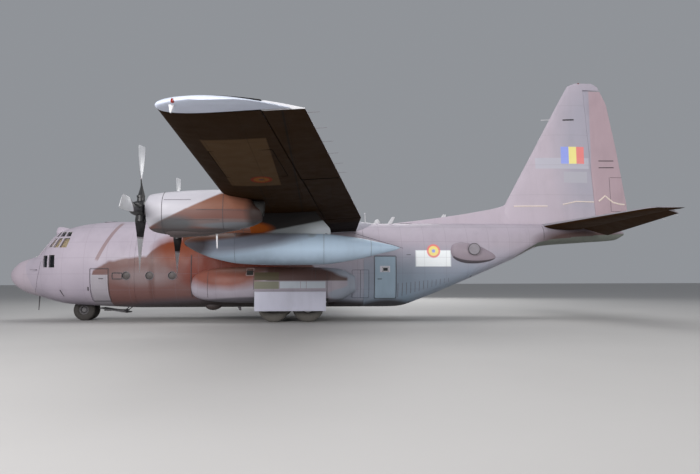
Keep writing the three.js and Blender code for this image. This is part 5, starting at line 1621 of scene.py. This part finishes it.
def wheel_shape(centre, outward, rim_radius, half, bore):
    """Wheel with a dished face, a hub cap and bolts, its outer face towards outward."""
    edge = rim_radius
    profile = [
        (bore, -half), (edge - 0.05, -half), (edge + 0.012, -half + 0.02), (edge - 0.002, -half + 0.05),
        (edge - 0.002, half - 0.05), (edge + 0.012, half - 0.01), (edge - 0.012, half + 0.005),
        (edge - 0.04, half - 0.01), (edge - 0.06, half - 0.07), (bore + 0.13, half - 0.10),
        (bore + 0.09, half - 0.05), (bore + 0.06, half - 0.02), (bore, half - 0.02), (bore, -half),
    ]
    parts = [turned(profile, centre, outward, 48)]
    first, second = across(outward)
    way = np.asarray(outward, float)
    bolts, bolt_ring = 10, rim_radius - 0.085
    for k in range(bolts):
        angle = 2 * PI * k / bolts
        spot = np.asarray(centre) + (first * math.cos(angle) + second * math.sin(angle)) * bolt_ring
        parts.append(rod(spot + way * (half - 0.10), spot + way * (half - 0.055), 0.014, sides=8))
    return merge(*parts)


def make_main_wheels(side, word):
    for place, x in zip(("front", "rear"), MAIN_WHEEL["x"]):
        body = f"main_wheel_{place}_{word}"
        centre, outward = (x, side * MAIN_WHEEL["y"], MAIN_WHEEL["radius"]), (0, side, 0)
        profile = tyre_profile(MAIN_WHEEL["rim"], MAIN_WHEEL["radius"], MAIN_WHEEL["half"])
        piece(
            f"tyre_{place}_{word}", turned(profile, centre, outward, 72), tyre_rubber, body=body, slot="tyre",
            replaces=[f"main_tyre_{place}_{word}"],
        )
        piece(
            f"rim_{place}_{word}", wheel_shape(centre, outward, MAIN_WHEEL["rim"], 0.21, 0.075),
            dark_wheel if place == "front" else wheel_look, body=body, slot="wheel_paint", replaces=[body],
        )


LEG_Y = -1.815
# Round bars of a main leg: (y, z) of both ends, radius, sides
LEG_BARS = [
    ((LEG_Y, 0.95), (LEG_Y, 1.699), 0.085, 28), ((LEG_Y, 0.93), (LEG_Y, 1.0), 0.10, 28),
    ((LEG_Y, 1.42), (LEG_Y, 1.60), 0.10, 28), ((LEG_Y, 0.71), (-2.36, 0.71), 0.055, 24),
    ((-1.80, 0.62), (-1.80, 0.84), 0.085, 24), ((-2.34, 0.71), (-2.375, 0.71), 0.065, 6),
]


def make_main_legs():
    struts = [
        rod((x, *foot), (x, *head), radius, sides=sides)
        for x in MAIN_WHEEL["x"] for foot, head, radius, sides in LEG_BARS
    ]
    struts.append(box(MAIN_WHEEL["x"], (-1.865, -1.765), (1.44, 1.58)))
    chrome = [rod((x, LEG_Y, 0.75), (x, LEG_Y, 1.4), 0.062, sides=28) for x in MAIN_WHEEL["x"]]
    pair("main_strut", merge(*struts), gear_white_look, slot="gear_steel", replaces="main_leg")
    pair("main_piston", merge(*chrome), chrome_look, slot="gear_steel")


make_sponsons()
make_gear_doors()
make_main_legs()
for side, word in SIDES:
    make_main_wheels(side, word)

# Nose gear

NOSE_WHEEL = dict(x=3.56, y=0.28, radius=0.495, half=0.165, rim=0.21)


def make_nose_gear():
    x, axle_z = NOSE_WHEEL["x"], NOSE_WHEEL["radius"]
    cylinder = merge(
        rod((x, 0, 0.98), (x, 0, 1.799), 0.098, sides=32), rod((x, 0, 0.98), (x, 0, 1.05), 0.112, sides=32),
        rod((x, 0, 1.40), (x, 0, 1.52), 0.115, sides=32),
        rod((x + 0.05, 0, 1.15), (x + 0.50, 0, 1.7), 0.042, sides=20),
        rod((x, -0.3, 1.72), (x, 0.3, 1.72), 0.05, sides=20),
    )
    piece("nose_cylinder", cylinder, gear_white_look, slot="gear_steel", replaces=["nose_leg"], bevel=0.006)
    boss = merge(
        rod((x, -0.10, axle_z), (x, 0.10, axle_z), 0.108, sides=28),
        rod((x, 0, 0.52), (x, 0, 0.70), 0.085, sides=28),
    )
    hole = rod((x, -0.3, axle_z), (x, 0.3, axle_z), 0.06, sides=24)
    piece(
        "nose_boss", boss, gear_white_look, body="nose_steering", slot="gear_steel",
        replaces=["nose_steering"], cut=hole,
    )
    piston = rod((x, 0, 0.66), (x, 0, 0.964), 0.066, sides=32)
    piece("nose_piston", piston, chrome_look, body="nose_steering", slot="gear_steel")
    rims = []
    profile = tyre_profile(NOSE_WHEEL["rim"], NOSE_WHEEL["radius"], NOSE_WHEEL["half"])
    for side, word in SIDES:
        centre = (x, side * NOSE_WHEEL["y"], axle_z)
        rims.append(wheel_shape(centre, (0, side, 0), NOSE_WHEEL["rim"], 0.13, 0.03))
        piece(
            f"nose_tyre_rubber_{word}", turned(profile, centre, (0, side, 0), 64), nose_rubber,
            body="nose_wheels", slot="tyre", replaces=[f"nose_tyre_{word}"],
        )
    axle = rod((x, -0.41, axle_z), (x, 0.41, axle_z), 0.042, sides=24)
    piece(
        "nose_rims", merge(axle, *rims), dark_wheel, body="nose_wheels", slot="wheel_paint",
        replaces=["nose_wheels"],
    )


def make_nose_door():
    edge = ((4.27, 0.55), (5.55, 0.34), (5.56, 0.39), (4.28, 0.60))
    plate = loft([[(x, y, z) for x, z in edge] for y in (-0.42, 0.42)])
    arms = []
    for y in (-0.3, 0.3):
        head = (5.62, y, skin_z(5.62, y, False) - 0.01)
        arms.append(rod((5.35, y, 0.41), head, 0.02, sides=12))
    ribs = [box((4.45, 5.45), (y - 0.02, y + 0.02), (0.44, 0.50)) for y in (-0.25, 0.25)]
    piece("nose_door", plate, nose_door_look, replaces=["nose_gear_door"], bevel=0.01)
    piece("nose_door_arms", merge(*arms, *ribs), nose_door_look)


make_nose_gear()
make_nose_door()

# Small fittings

def bump(x, place, out, half, reach, blunt=0.7):
    """Streamlined bump along x. place gives the skin's y and z at an x, out the way that it stands out."""
    out = np.array(out, float)
    wide = np.cross(out, [1, 0, 0])
    angles = full_turn(28)[:, None]
    rings = []
    around = out * reach * np.cos(angles) + wide * half * np.sin(angles)
    for t in np.linspace(0.003, 0.997, 22):
        at = x[0] + t * (x[1] - x[0])
        rings.append(np.array([at, *place(at)]) + math.sin(PI * t**blunt) ** 0.6 * around)
    return loft(rings)


def aerial(foot, tip, chord, tip_chord=None, thick=0.03):
    """Blade aerial with a rounded front, from its foot to its tip."""
    foot, tip = np.array(foot, float), np.array(tip, float)
    tip_chord = chord if tip_chord is None else tip_chord
    side = np.cross(tip - foot, [1, 0, 0])
    side /= np.linalg.norm(side)
    around = full_turn(16)
    rings = []
    for t, shrink in ((0, 1.0), (0.5, 1.0), (0.9, 0.97), (0.97, 0.8), (1.0, 0.4)):
        width = (chord + t * (tip_chord - chord)) * shrink / 2
        along = width * np.cos(around)[:, None] * np.array([1, 0, 0])
        rings.append(foot + t * (tip - foot) + along + side * thick / 2 * shrink * np.sin(around)[:, None])
    return loft(rings)


def lens(centre, way, radius):
    """Domed lamp glass."""
    dome = [(radius * 0.85, radius * 0.35), (radius * 0.5, radius * 0.55), (1e-4, radius * 0.62)]
    return turned([(radius, -0.02), (radius, 0.01), *dome], centre, way, 28)


def make_hull_lines():
    """Outlines and other lines on both sides of the fuselage, and the rungs at its rear."""
    # x range, z range, bead radius
    outlines = [
        ((4.375, 5.225), (0.96, 2.405), 0.010), ((5.38, 5.82), (1.93, 2.20), 0.022),
        ((16.07, 16.83), (1.05, 2.31), 0.009), ((17.075, 18.075), (1.03, 2.945), 0.012),
    ]
    beads = [rim(on_side(fine(rectangle(x, z))), radius, 6) for x, z, radius in outlines]
    # Open lines of (x, z) places, and their bead radius
    lines = [
        ([(8.87, 1.12), (8.87, 2.99)], 0.022), ([(16.45, 1.05), (16.45, 2.31)], 0.008),
        ([(4.28, 1.42), (4.28, 1.58)], 0.03),
        ([(1.95, 2.75), (1.92, 2.26), (1.75, 1.6), (1.42, 1.13)], 0.008),
        ([(2.96, 1.45), (3.08, 1.17)], 0.022), ([(18.55, 3.0), (18.75, 3.0)], 0.012),
        ([(16.1, 4.05), (18.4, 3.30)], 0.008), ([(25.25, 3.75), (25.25, 4.40)], 0.012),
    ]
    beads += [bead(line, radius) for line, radius in lines]
    piece("hull_lines", both_sides(merge(*beads)), line_look)
    start = 18.15
    rungs = [
        [(x, 1.08 + 0.29 * (x - start)), (x, 1.70 + 0.10 * (x - start))] for x in steps(start, 20.5, 0.19)
    ]
    piece("rear_rungs", both_sides(merge(*[bead(rung, 0.011) for rung in rungs])), rim_look)


def make_front_fittings():
    """Mast, probes, wipers, lamp and roof bump, curtains, and the crew door's steps and handle."""
    probes = []
    for side in (-1, 1):
        root = np.array([1.80, side * skin_y(1.80, 2.36), 2.36])
        out = root + [-0.02, side * 0.10, 0.0]
        ahead = [out + [reach, side * 0.02, 0.0] for reach in (-0.06, -0.24)]
        probes += [rod(root, out, 0.016), pipe([out, *ahead], 0.012)]
        wiper = ((1.45, 0.18, 0.02), (1.62, 0.24, 0.03), (1.90, 0.34, 0.03))
        probes.append(pipe([(x, side * y, skin_z(x, y) + lift) for x, y, lift in wiper], 0.010))
    piece("probes", merge(*probes), rim_look)
    piece("nose_mast", rod((1.33, 0, 1.17), (1.30, 0, 0.48), 0.030, 0.018), line_look)
    piece("roof_bump", bump((2.05, 3.0), lambda _: (0, 4.16), (0, 0, 1), 0.20, 0.27, 0.42), front_look)
    light = on_side([(1.44, 2.96)])[0]
    piece("nose_lamp", both_sides(lens(light, (-0.6, -0.7, 0.4), 0.05)), lamp_glass, slot="window_glass")
    cloths = [slab(x, (3.34, 3.82), -0.14, depth=0.165) for x in ((2.30, 2.46), (2.50, 2.80), (2.84, 3.26))]
    piece("curtains", both_sides(merge(*cloths)), curtain_look, body="root", slot="cabin")
    treads = []
    for z in (1.22, 1.55, 1.88):
        wall = -skin_y(4.8, z) + 0.12
        treads.append(box((4.50, 5.10), (wall, wall + 0.18), (z, z + 0.04)))
    piece("crew_door_steps", merge(*treads), steel_look, body="crew_door", slot="cabin", bevel=0.008)
    handle = on_side([(4.80, 1.95), (4.98, 1.95)], -1, 0.02)
    grip = merge(pipe(handle, 0.014), rod(handle[0] + [0, 0.03, 0], handle[0], 0.02))
    piece("crew_door_handle", grip, line_look, body="crew_door")


def make_top_fittings():
    """Escape hatches and aerials on the back of the fuselage."""
    hatches, beads = [], []
    lid = [(0.27, -0.05), (0.27, 0.012), (0.22, 0.026), (1e-4, 0.034)]
    for x in (4.6, 9.2, 18.8):
        beads.append(rim([(u, v, skin_z(u, v) + 0.004) for u, v in circle(x, 0, 0.30, 48)], 0.014, 6))
        hatches.append(turned(lid, (x, 0, skin_z(x, 0) - 0.004), (0, 0, 1), 40))
    piece("hatch_rims", merge(*beads), line_look)
    piece("hatches", merge(*hatches), front_look)
    aerials = [
        aerial((16.80, -0.25, 4.50), (16.78, -0.25, 5.06), 0.05, 0.03),
        lens((16.78, -0.25, 5.06), (0, 0, 1), 0.05),
        aerial((17.98, 0, 4.55), (18.20, 0, 4.93), 0.22, 0.16),
        aerial((7.4, 0, 4.62), (7.5, 0, 4.98), 0.30, 0.20),
        aerial((20.6, 0, 4.75), (20.7, 0, 5.05), 0.26, 0.18),
        bump((17.22, 17.56), lambda _: (0, 4.59), (0, 0, 1), 0.12, 0.22, 1.0),
    ]
    piece("back_aerials", merge(*aerials), fitting_look, slot="tail_paint")


def make_belly_fittings():
    y = -1.15

    def keel(x):
        return y, skin_z(x, y, False)

    piece("belly_bump", bump((9.33, 10.11), keel, (0, 0, -1), 0.20, 0.20, 0.9), centre_look)
    piece("belly_aerial", aerial((10.90, y, 0.64), (10.95, y, 0.47), 0.16, 0.10), rim_look)
    piece("belly_lamp", lens((9.80, y, 0.50), (0, 0, -1), 0.045), lamp_glass, slot="window_glass")


def make_rear_fittings():
    """Side blisters with their round heads, and the windows and handles of the side doors."""

    def on_skin(x):
        z = 3.17 - 0.12 * (x - 20.6)
        return -skin_y(x, z) + 0.03, z

    blister = bump((20.60, 22.80), on_skin, (0, -1, 0), 0.47, 0.27, 0.62)
    head_x, head_z = 21.65, 3.25
    face = -skin_y(head_x, head_z)
    head = [(0.20, 0), (0.27, 0.04), (0.27, 0.32), (0.245, 0.345), (0.20, 0.345), (0.19, 0.33), (1e-4, 0.33)]
    disc = turned(head, (head_x, face, head_z), (0, -1, 0), 40)
    # Faces of the blisters that look down get a darker painted shade.
    shaded_underside = [(blister_shade_look, lambda _, normal: normal.z < -0.45)]
    piece("blisters", both_sides(blister), blister_look, slot="tail_paint", others=shaded_underside)
    piece("blister_heads", both_sides(disc), fitting_dark, slot="tail_paint")
    ring = rim([(x, face - 0.338, z) for x, z in circle(head_x, head_z, 0.262, 40)], 0.014, 6)
    piece("blister_rings", both_sides(ring), line_look, slot="tail_paint")
    glasses, frames = [], []
    for side in (-1, 1):
        outline = fine(rectangle((17.46, 17.70), (2.25, 2.42), 0.04))
        frames.append(rim(on_side(outline, side), 0.022))
        glasses.append(slab((17.44, 17.72), (2.23, 2.44), 0.006, side))
    piece("side_door_windows", merge(*glasses), dark_glass, slot="window_glass")
    piece("side_door_frames", merge(*frames), fitting_look, slot="tail_paint")
    grip = on_side([(17.24, 1.90), (17.40, 1.90)], -1, 0.025)
    grips = merge(pipe(grip, 0.013), *[rod(end + [0, 0.03, 0], end, 0.016, sides=12) for end in grip])
    piece("side_door_grips", both_sides(grips), line_look, slot="tail_paint")


def make_wing_fittings():
    """Lamps and masts of the wing tips, wicks, filler caps and hatches on top."""
    tip = wing_at(-19.98)
    lamp = np.array([tip["front"] + 0.49, -20.07, tip["height"] - 0.17])
    glow = lens(lamp, (-0.8, -0.6, 0), 0.042)
    ends = [foil(wing_at(-y), [1.0], 0)[0] for y in steps(13.6, 18.9, 1.05)]
    wicks = merge(*[rod(end - [0.03, 0, 0], end + [0.24, 0, 0.02], 0.005, sides=6) for end in ends])
    for (side, word), look in zip(SIDES, (red_glass, green_glass)):
        piece(f"tip_lamp_{word}", sided(glow, side), look, slot="window_glass")
    pair("wing_wicks", wicks, rim_look, body="aileron")
    masts = aerial(lamp + [-0.04, 0.15, 0.01], lamp + [-0.06, 0.15, -0.18], 0.13, 0.03)
    piece("tip_masts", both_sides(masts), fitting_look)
    caps, outlines = [], []
    cap = [(0.12, -0.03), (0.12, 0.006), (0.10, 0.012), (1e-4, 0.014)]
    for y, share in ((3.2, 0.42), (7.0, 0.40), (11.0, 0.42), (15.0, 0.40)):
        caps.append(turned(cap, foil(wing_at(-y), [share], 1)[0], (0, 0, 1), 32))
    # inner and outer y, chord shares in front and behind, 1 on top and -1 below
    hatches = [
        (2.6, 4.2, 0.30, 0.48, 1), (5.9, 7.2, 0.30, 0.46, 1), (8.2, 9.4, 0.30, 0.46, 1),
        (13.6, 16.4, 0.16, 0.62, -1),
    ]
    for inner, outer, front, back, face in hatches:
        flat = [(inner, front), (outer, front), (outer, back), (inner, back)]
        corners = [foil(wing_at(-y), [f], face)[0] + [0, 0, face * 0.003] for y, f in flat]
        outlines.append(rim(fine(rounded(corners, 0.05), 0.3), 0.008, 6))
    piece("filler_caps", both_sides(merge(*caps)), fitting_look)
    piece("wing_lines", both_sides(merge(*outlines)), gap_look)


def make_nacelle_fittings(name, side, word):
    """Seams and drain mast of one nacelle."""
    y, z = ENGINES[name]
    beads = [rim(ring, 0.009, 6) for ring in nacelle_rings([9.70, 11.61], y, z)]
    for height, ends in ((-0.10, (10.78, 12.38)), (-0.42, (10.1, 11.5)), (0.22, (9.75, 10.6))):
        for way in (-1, 1):
            line = [(x, y + way * nacelle_half(x, height), z + height) for x in steps(*ends, 0.15)]
            beads.append(pipe(line, 0.008, 6))
    piece(f"nacelle_lines_{name}_{word}", sided(merge(*beads), -side), line_look)
    mast = aerial((11.34, side * y, z - 0.76), (11.36, side * y, z - 1.30), 0.07, 0.04)
    piece(f"drain_mast_{name}_{word}", mast, fitting_look)


def make_tank_fittings(side, word):
    beads = []
    for x in (11.62, 14.81, 16.53):
        beads.append(rim(tank_ring(x, side, *smooth_rows(TANK, [x])[0]), 0.007, 6))
    cap = [(0.10, -0.02), (0.10, 0.012), (1e-4, 0.02)]
    beads.append(turned(cap, (14.9, side * TANK_Y, 3.545), (0, 0, 1), 28))
    piece(f"tank_seams_{word}", merge(*beads), tank_line_look, slot="tank_paint")


def fin_side(x, z, lift=0.0):
    front, tail, thick = rows_at(FIN, z)
    return float(fin_half((x - front) / (tail - front), thick)) + lift


def make_fin_fittings():
    """Lines of fin and rudder, the fin's slot, probe and lamp, and the elevators' wicks."""
    # Lines are (places, bead radius) pairs
    sealant = [([(24.1, 5.44), (25.73, 5.44)], 0.030), ([(26.5, 5.52), (27.2, 5.68), (28.1, 5.66)], 0.030)]
    wavy = [
        (28.36, 5.70), (28.52, 5.82), (28.70, 5.98), (28.84, 5.86), (29.1, 5.66), (29.4, 5.58), (29.7, 5.55),
    ]
    stripes = [([(28.42, z), (29.20, z + 0.02)], 0.022) for z in (7.38, 7.72)]
    tab = [([(29.0, z), (29.6, z)], 0.009) for z in (5.2, 6.9)] + [([(29.0, 5.2), (28.95, 6.9)], 0.009)]
    groups = [
        ("fin_sealant", "root", pale_line_look, sealant),
        ("fin_slots", "root", black_look, [([(26.65, 9.76), (27.20, 9.78)], 0.035)]),
        ("rudder_sealant", "rudder", pale_line_look, [(wavy, 0.038)]),
        ("rudder_lines", "rudder", line_look, stripes + tab),
    ]
    for name, body, look, lines in groups:
        beads = merge(*[bead(line, radius, skin=fin_side, step=0.2) for line, radius in lines])
        piece(name, both_sides(beads), look, body=body, slot="tail_paint")
    probe = pipe([(26.25, 0, 9.84), (26.05, 0, 9.80), (25.62, 0, 9.78)], 0.02)
    piece("fin_probe", probe, fitting_look, slot="tail_paint")
    piece("fin_lamp", lens((27.55, 0, 11.655), (0, 0, 1), 0.05), red_glass, slot="window_glass")
    for side, word in SIDES:
        wicks = []
        for y in (5.2, 6.2, 7.2):
            _, tail, hinge, height, _ = rows_at(TAILPLANE, y)
            chord = tail - hinge
            end = np.array([hinge + chord * math.cos(DROOP), side * y, height - chord * math.sin(DROOP)])
            wicks.append(rod(end, end + [0.18, 0, -0.07], 0.007, sides=6))
        piece(f"tail_wicks_{word}", merge(*wicks), fitting_look, body=f"elevator_{word}", slot="tail_paint")


def make_sponson_fittings():
    """Air intake, plates and lines on both sponsons, and the arms of the hanging gear doors."""
    frame_line = fine(rectangle((11.40, 11.72), (2.06, 2.38), 0.04))
    piece("sponson_intakes", both_sides(rim(on_side(frame_line, skin=sponson_y), 0.024)), intake_look)
    # piece, look, lift, x and z ranges of its plates
    plates = [
        # A near-black plate in each intake: painted shade of the opening.
        ("sponson_intake_shade_plates", dark_look, 0.004, [((11.42, 11.70), (2.08, 2.36))]),
        ("sponson_strips", strip_look, 0.014, [
            (x, (1.50, 1.80)) for x in ((12.88, 13.76), (13.79, 14.02), (14.05, 14.87))
        ]),
        ("sponson_plates", olive_look, 0.012, [((11.76, 12.83), (1.48, 1.80))]),
        ("sponson_panels", ochre_look, 0.012, [((11.76, 12.83), (1.86, 2.20))]),
    ]
    for name, look, lift, ranges in plates:
        piece(name, both_sides(merge(*[slab(x, z, lift, skin=sponson_y) for x, z in ranges])), look)
    beads = [
        bead([(x, low), (x, top)], 0.010, skin=sponson_y)
        for x, low, top in ((14.43, 1.90, 2.30), (14.94, 1.10, 2.30), (11.73, 1.45, 2.0), (9.7, 1.1, 2.3))
    ]
    piece("sponson_lines", both_sides(merge(*beads)), line_look)
    arms = []
    for x in steps(12.0, 14.7, 0.9):
        root = (x, -2.78, 0.90)
        for end, radius in (((x, -2.935, 0.72), 0.022), ((x + 0.22, -2.78, 0.90), 0.018)):
            arms.append(rod(root, end, radius, sides=12))
    piece("gear_door_arms", both_sides(merge(*arms)), gear_white_look)


def make_gear_fittings():
    """Torque links, lamps, brake pipes and the inside of the wheel bays."""
    x, knee = NOSE_WHEEL["x"], NOSE_WHEEL["x"] + 0.27
    links = [
        rod((start, y, high), (end, y, low), 0.018, sides=12)
        for start, high, end, low in ((x + 0.07, 1.0, knee, 0.80), (knee, 0.80, x + 0.08, 0.60))
        for y in (-0.05, 0.05)
    ]
    links.append(rod((knee, -0.075, 0.80), (knee, 0.075, 0.80), 0.022, sides=16))
    piece("nose_links", merge(*links), steel_look, body="nose_steering", slot="gear_steel")
    can = [(0.02, 0.10), (0.06, 0.09), (0.085, 0.0), (0.075, -0.01), (1e-4, 0.0)]
    cans = [turned(can, (x - 0.16, y, 1.30), (1, 0, 0.1), 28) for y in (-0.16, 0.16)]
    cans.append(rod((x - 0.10, -0.2, 1.30), (x - 0.10, 0.2, 1.30), 0.02, sides=14))
    piece("nose_gear_lamps", merge(*cans), gear_white_look, slot="gear_steel")
    glasses = [lens((x - 0.165, y, 1.30), (-1, 0, -0.1), 0.066) for y in (-0.16, 0.16)]
    piece("nose_gear_glass", merge(*glasses), lamp_glass, slot="window_glass")
    # share of the lean, y, z
    hose = ((1, -1.72, 1.66), (2, -1.71, 1.3), (1.5, -1.72, 1.0), (1, -1.80, 0.80))
    pipes = []
    for wheel in MAIN_WHEEL["x"]:
        for lean in (-0.05, 0.05):
            pipes.append(pipe([(wheel + lean * share, y, z) for share, y, z in hose], 0.012))
        knee = (wheel - 0.24, LEG_Y, 0.84)
        pipes.append(rod((wheel - 0.11, LEG_Y, 0.98), knee, 0.022, sides=12))
        pipes.append(rod(knee, (wheel - 0.07, LEG_Y, 0.72), 0.022, sides=12))
    ribs = [
        box((rib - 0.02, rib + 0.02), y, z)
        for y, z in (((-2.70, -2.66), (0.95, 1.66)), ((-2.66, -1.72), (1.62, 1.68)))
        for rib in steps(12.1, 14.7, 0.52)
    ]
    piece("main_gear_pipes", both_sides(merge(*pipes)), steel_look, slot="gear_steel")
    piece("wheel_bay_ribs", both_sides(merge(*ribs)), cabin_look)


def make_hold():
    """Frames round the hold and rails along its floor."""
    arcs = []
    angles = np.linspace(-0.04, 1.04, 40) * PI
    for x in steps(6.9, 18.3, 0.95):
        w, low, wide, top, upper, lower = body_row(x)
        outer, inner = (
            oval(x, 0, w - WALL + grow, low + WALL, wide, top - WALL + grow, upper, lower, angles)
            for grow in (0.01, -0.09)
        )
        aft = np.array([0.03, 0, 0])
        arcs.append(loft([[a - aft, a + aft, b + aft, b - aft] for a, b in zip(outer, inner)]))
    piece("hold_frames", merge(*arcs), cabin_look, slot="cabin")
    low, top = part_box("cargo_floor")
    ends = (low[0] / SCALE + LENGTH_MIDDLE + 0.3, top[0] / SCALE + LENGTH_MIDDLE - 0.3)
    deck = top[2] / SCALE
    heights = (deck + 0.001, deck + 0.025)
    rails = [box(ends, (y - 0.04, y + 0.04), heights) for y in (-1.35, -0.45, 0.45, 1.35)]
    piece("floor_rails", merge(*rails), steel_look, slot="cabin", bevel=0.006)


make_hull_lines()
make_front_fittings()
make_top_fittings()
make_belly_fittings()
make_rear_fittings()
make_wing_fittings()
for engine, side, word in ENGINE_SIDES:
    make_nacelle_fittings(engine, side, word)
for side, word in SIDES:
    make_tank_fittings(side, word)
make_fin_fittings()
make_sponson_fittings()
make_gear_fittings()
make_hold()

# Materials of the CAD nodes that stay


def dress_node(name, look):
    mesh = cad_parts[name].data
    mesh.materials.clear()
    mesh.materials.append(look)


for node in ("flight_deck", "cargo_floor"):
    dress_node(node, cabin_look)
for engine, _, word in ENGINE_SIDES:
    dress_node(f"engine_{engine}_{word}", steel_look)
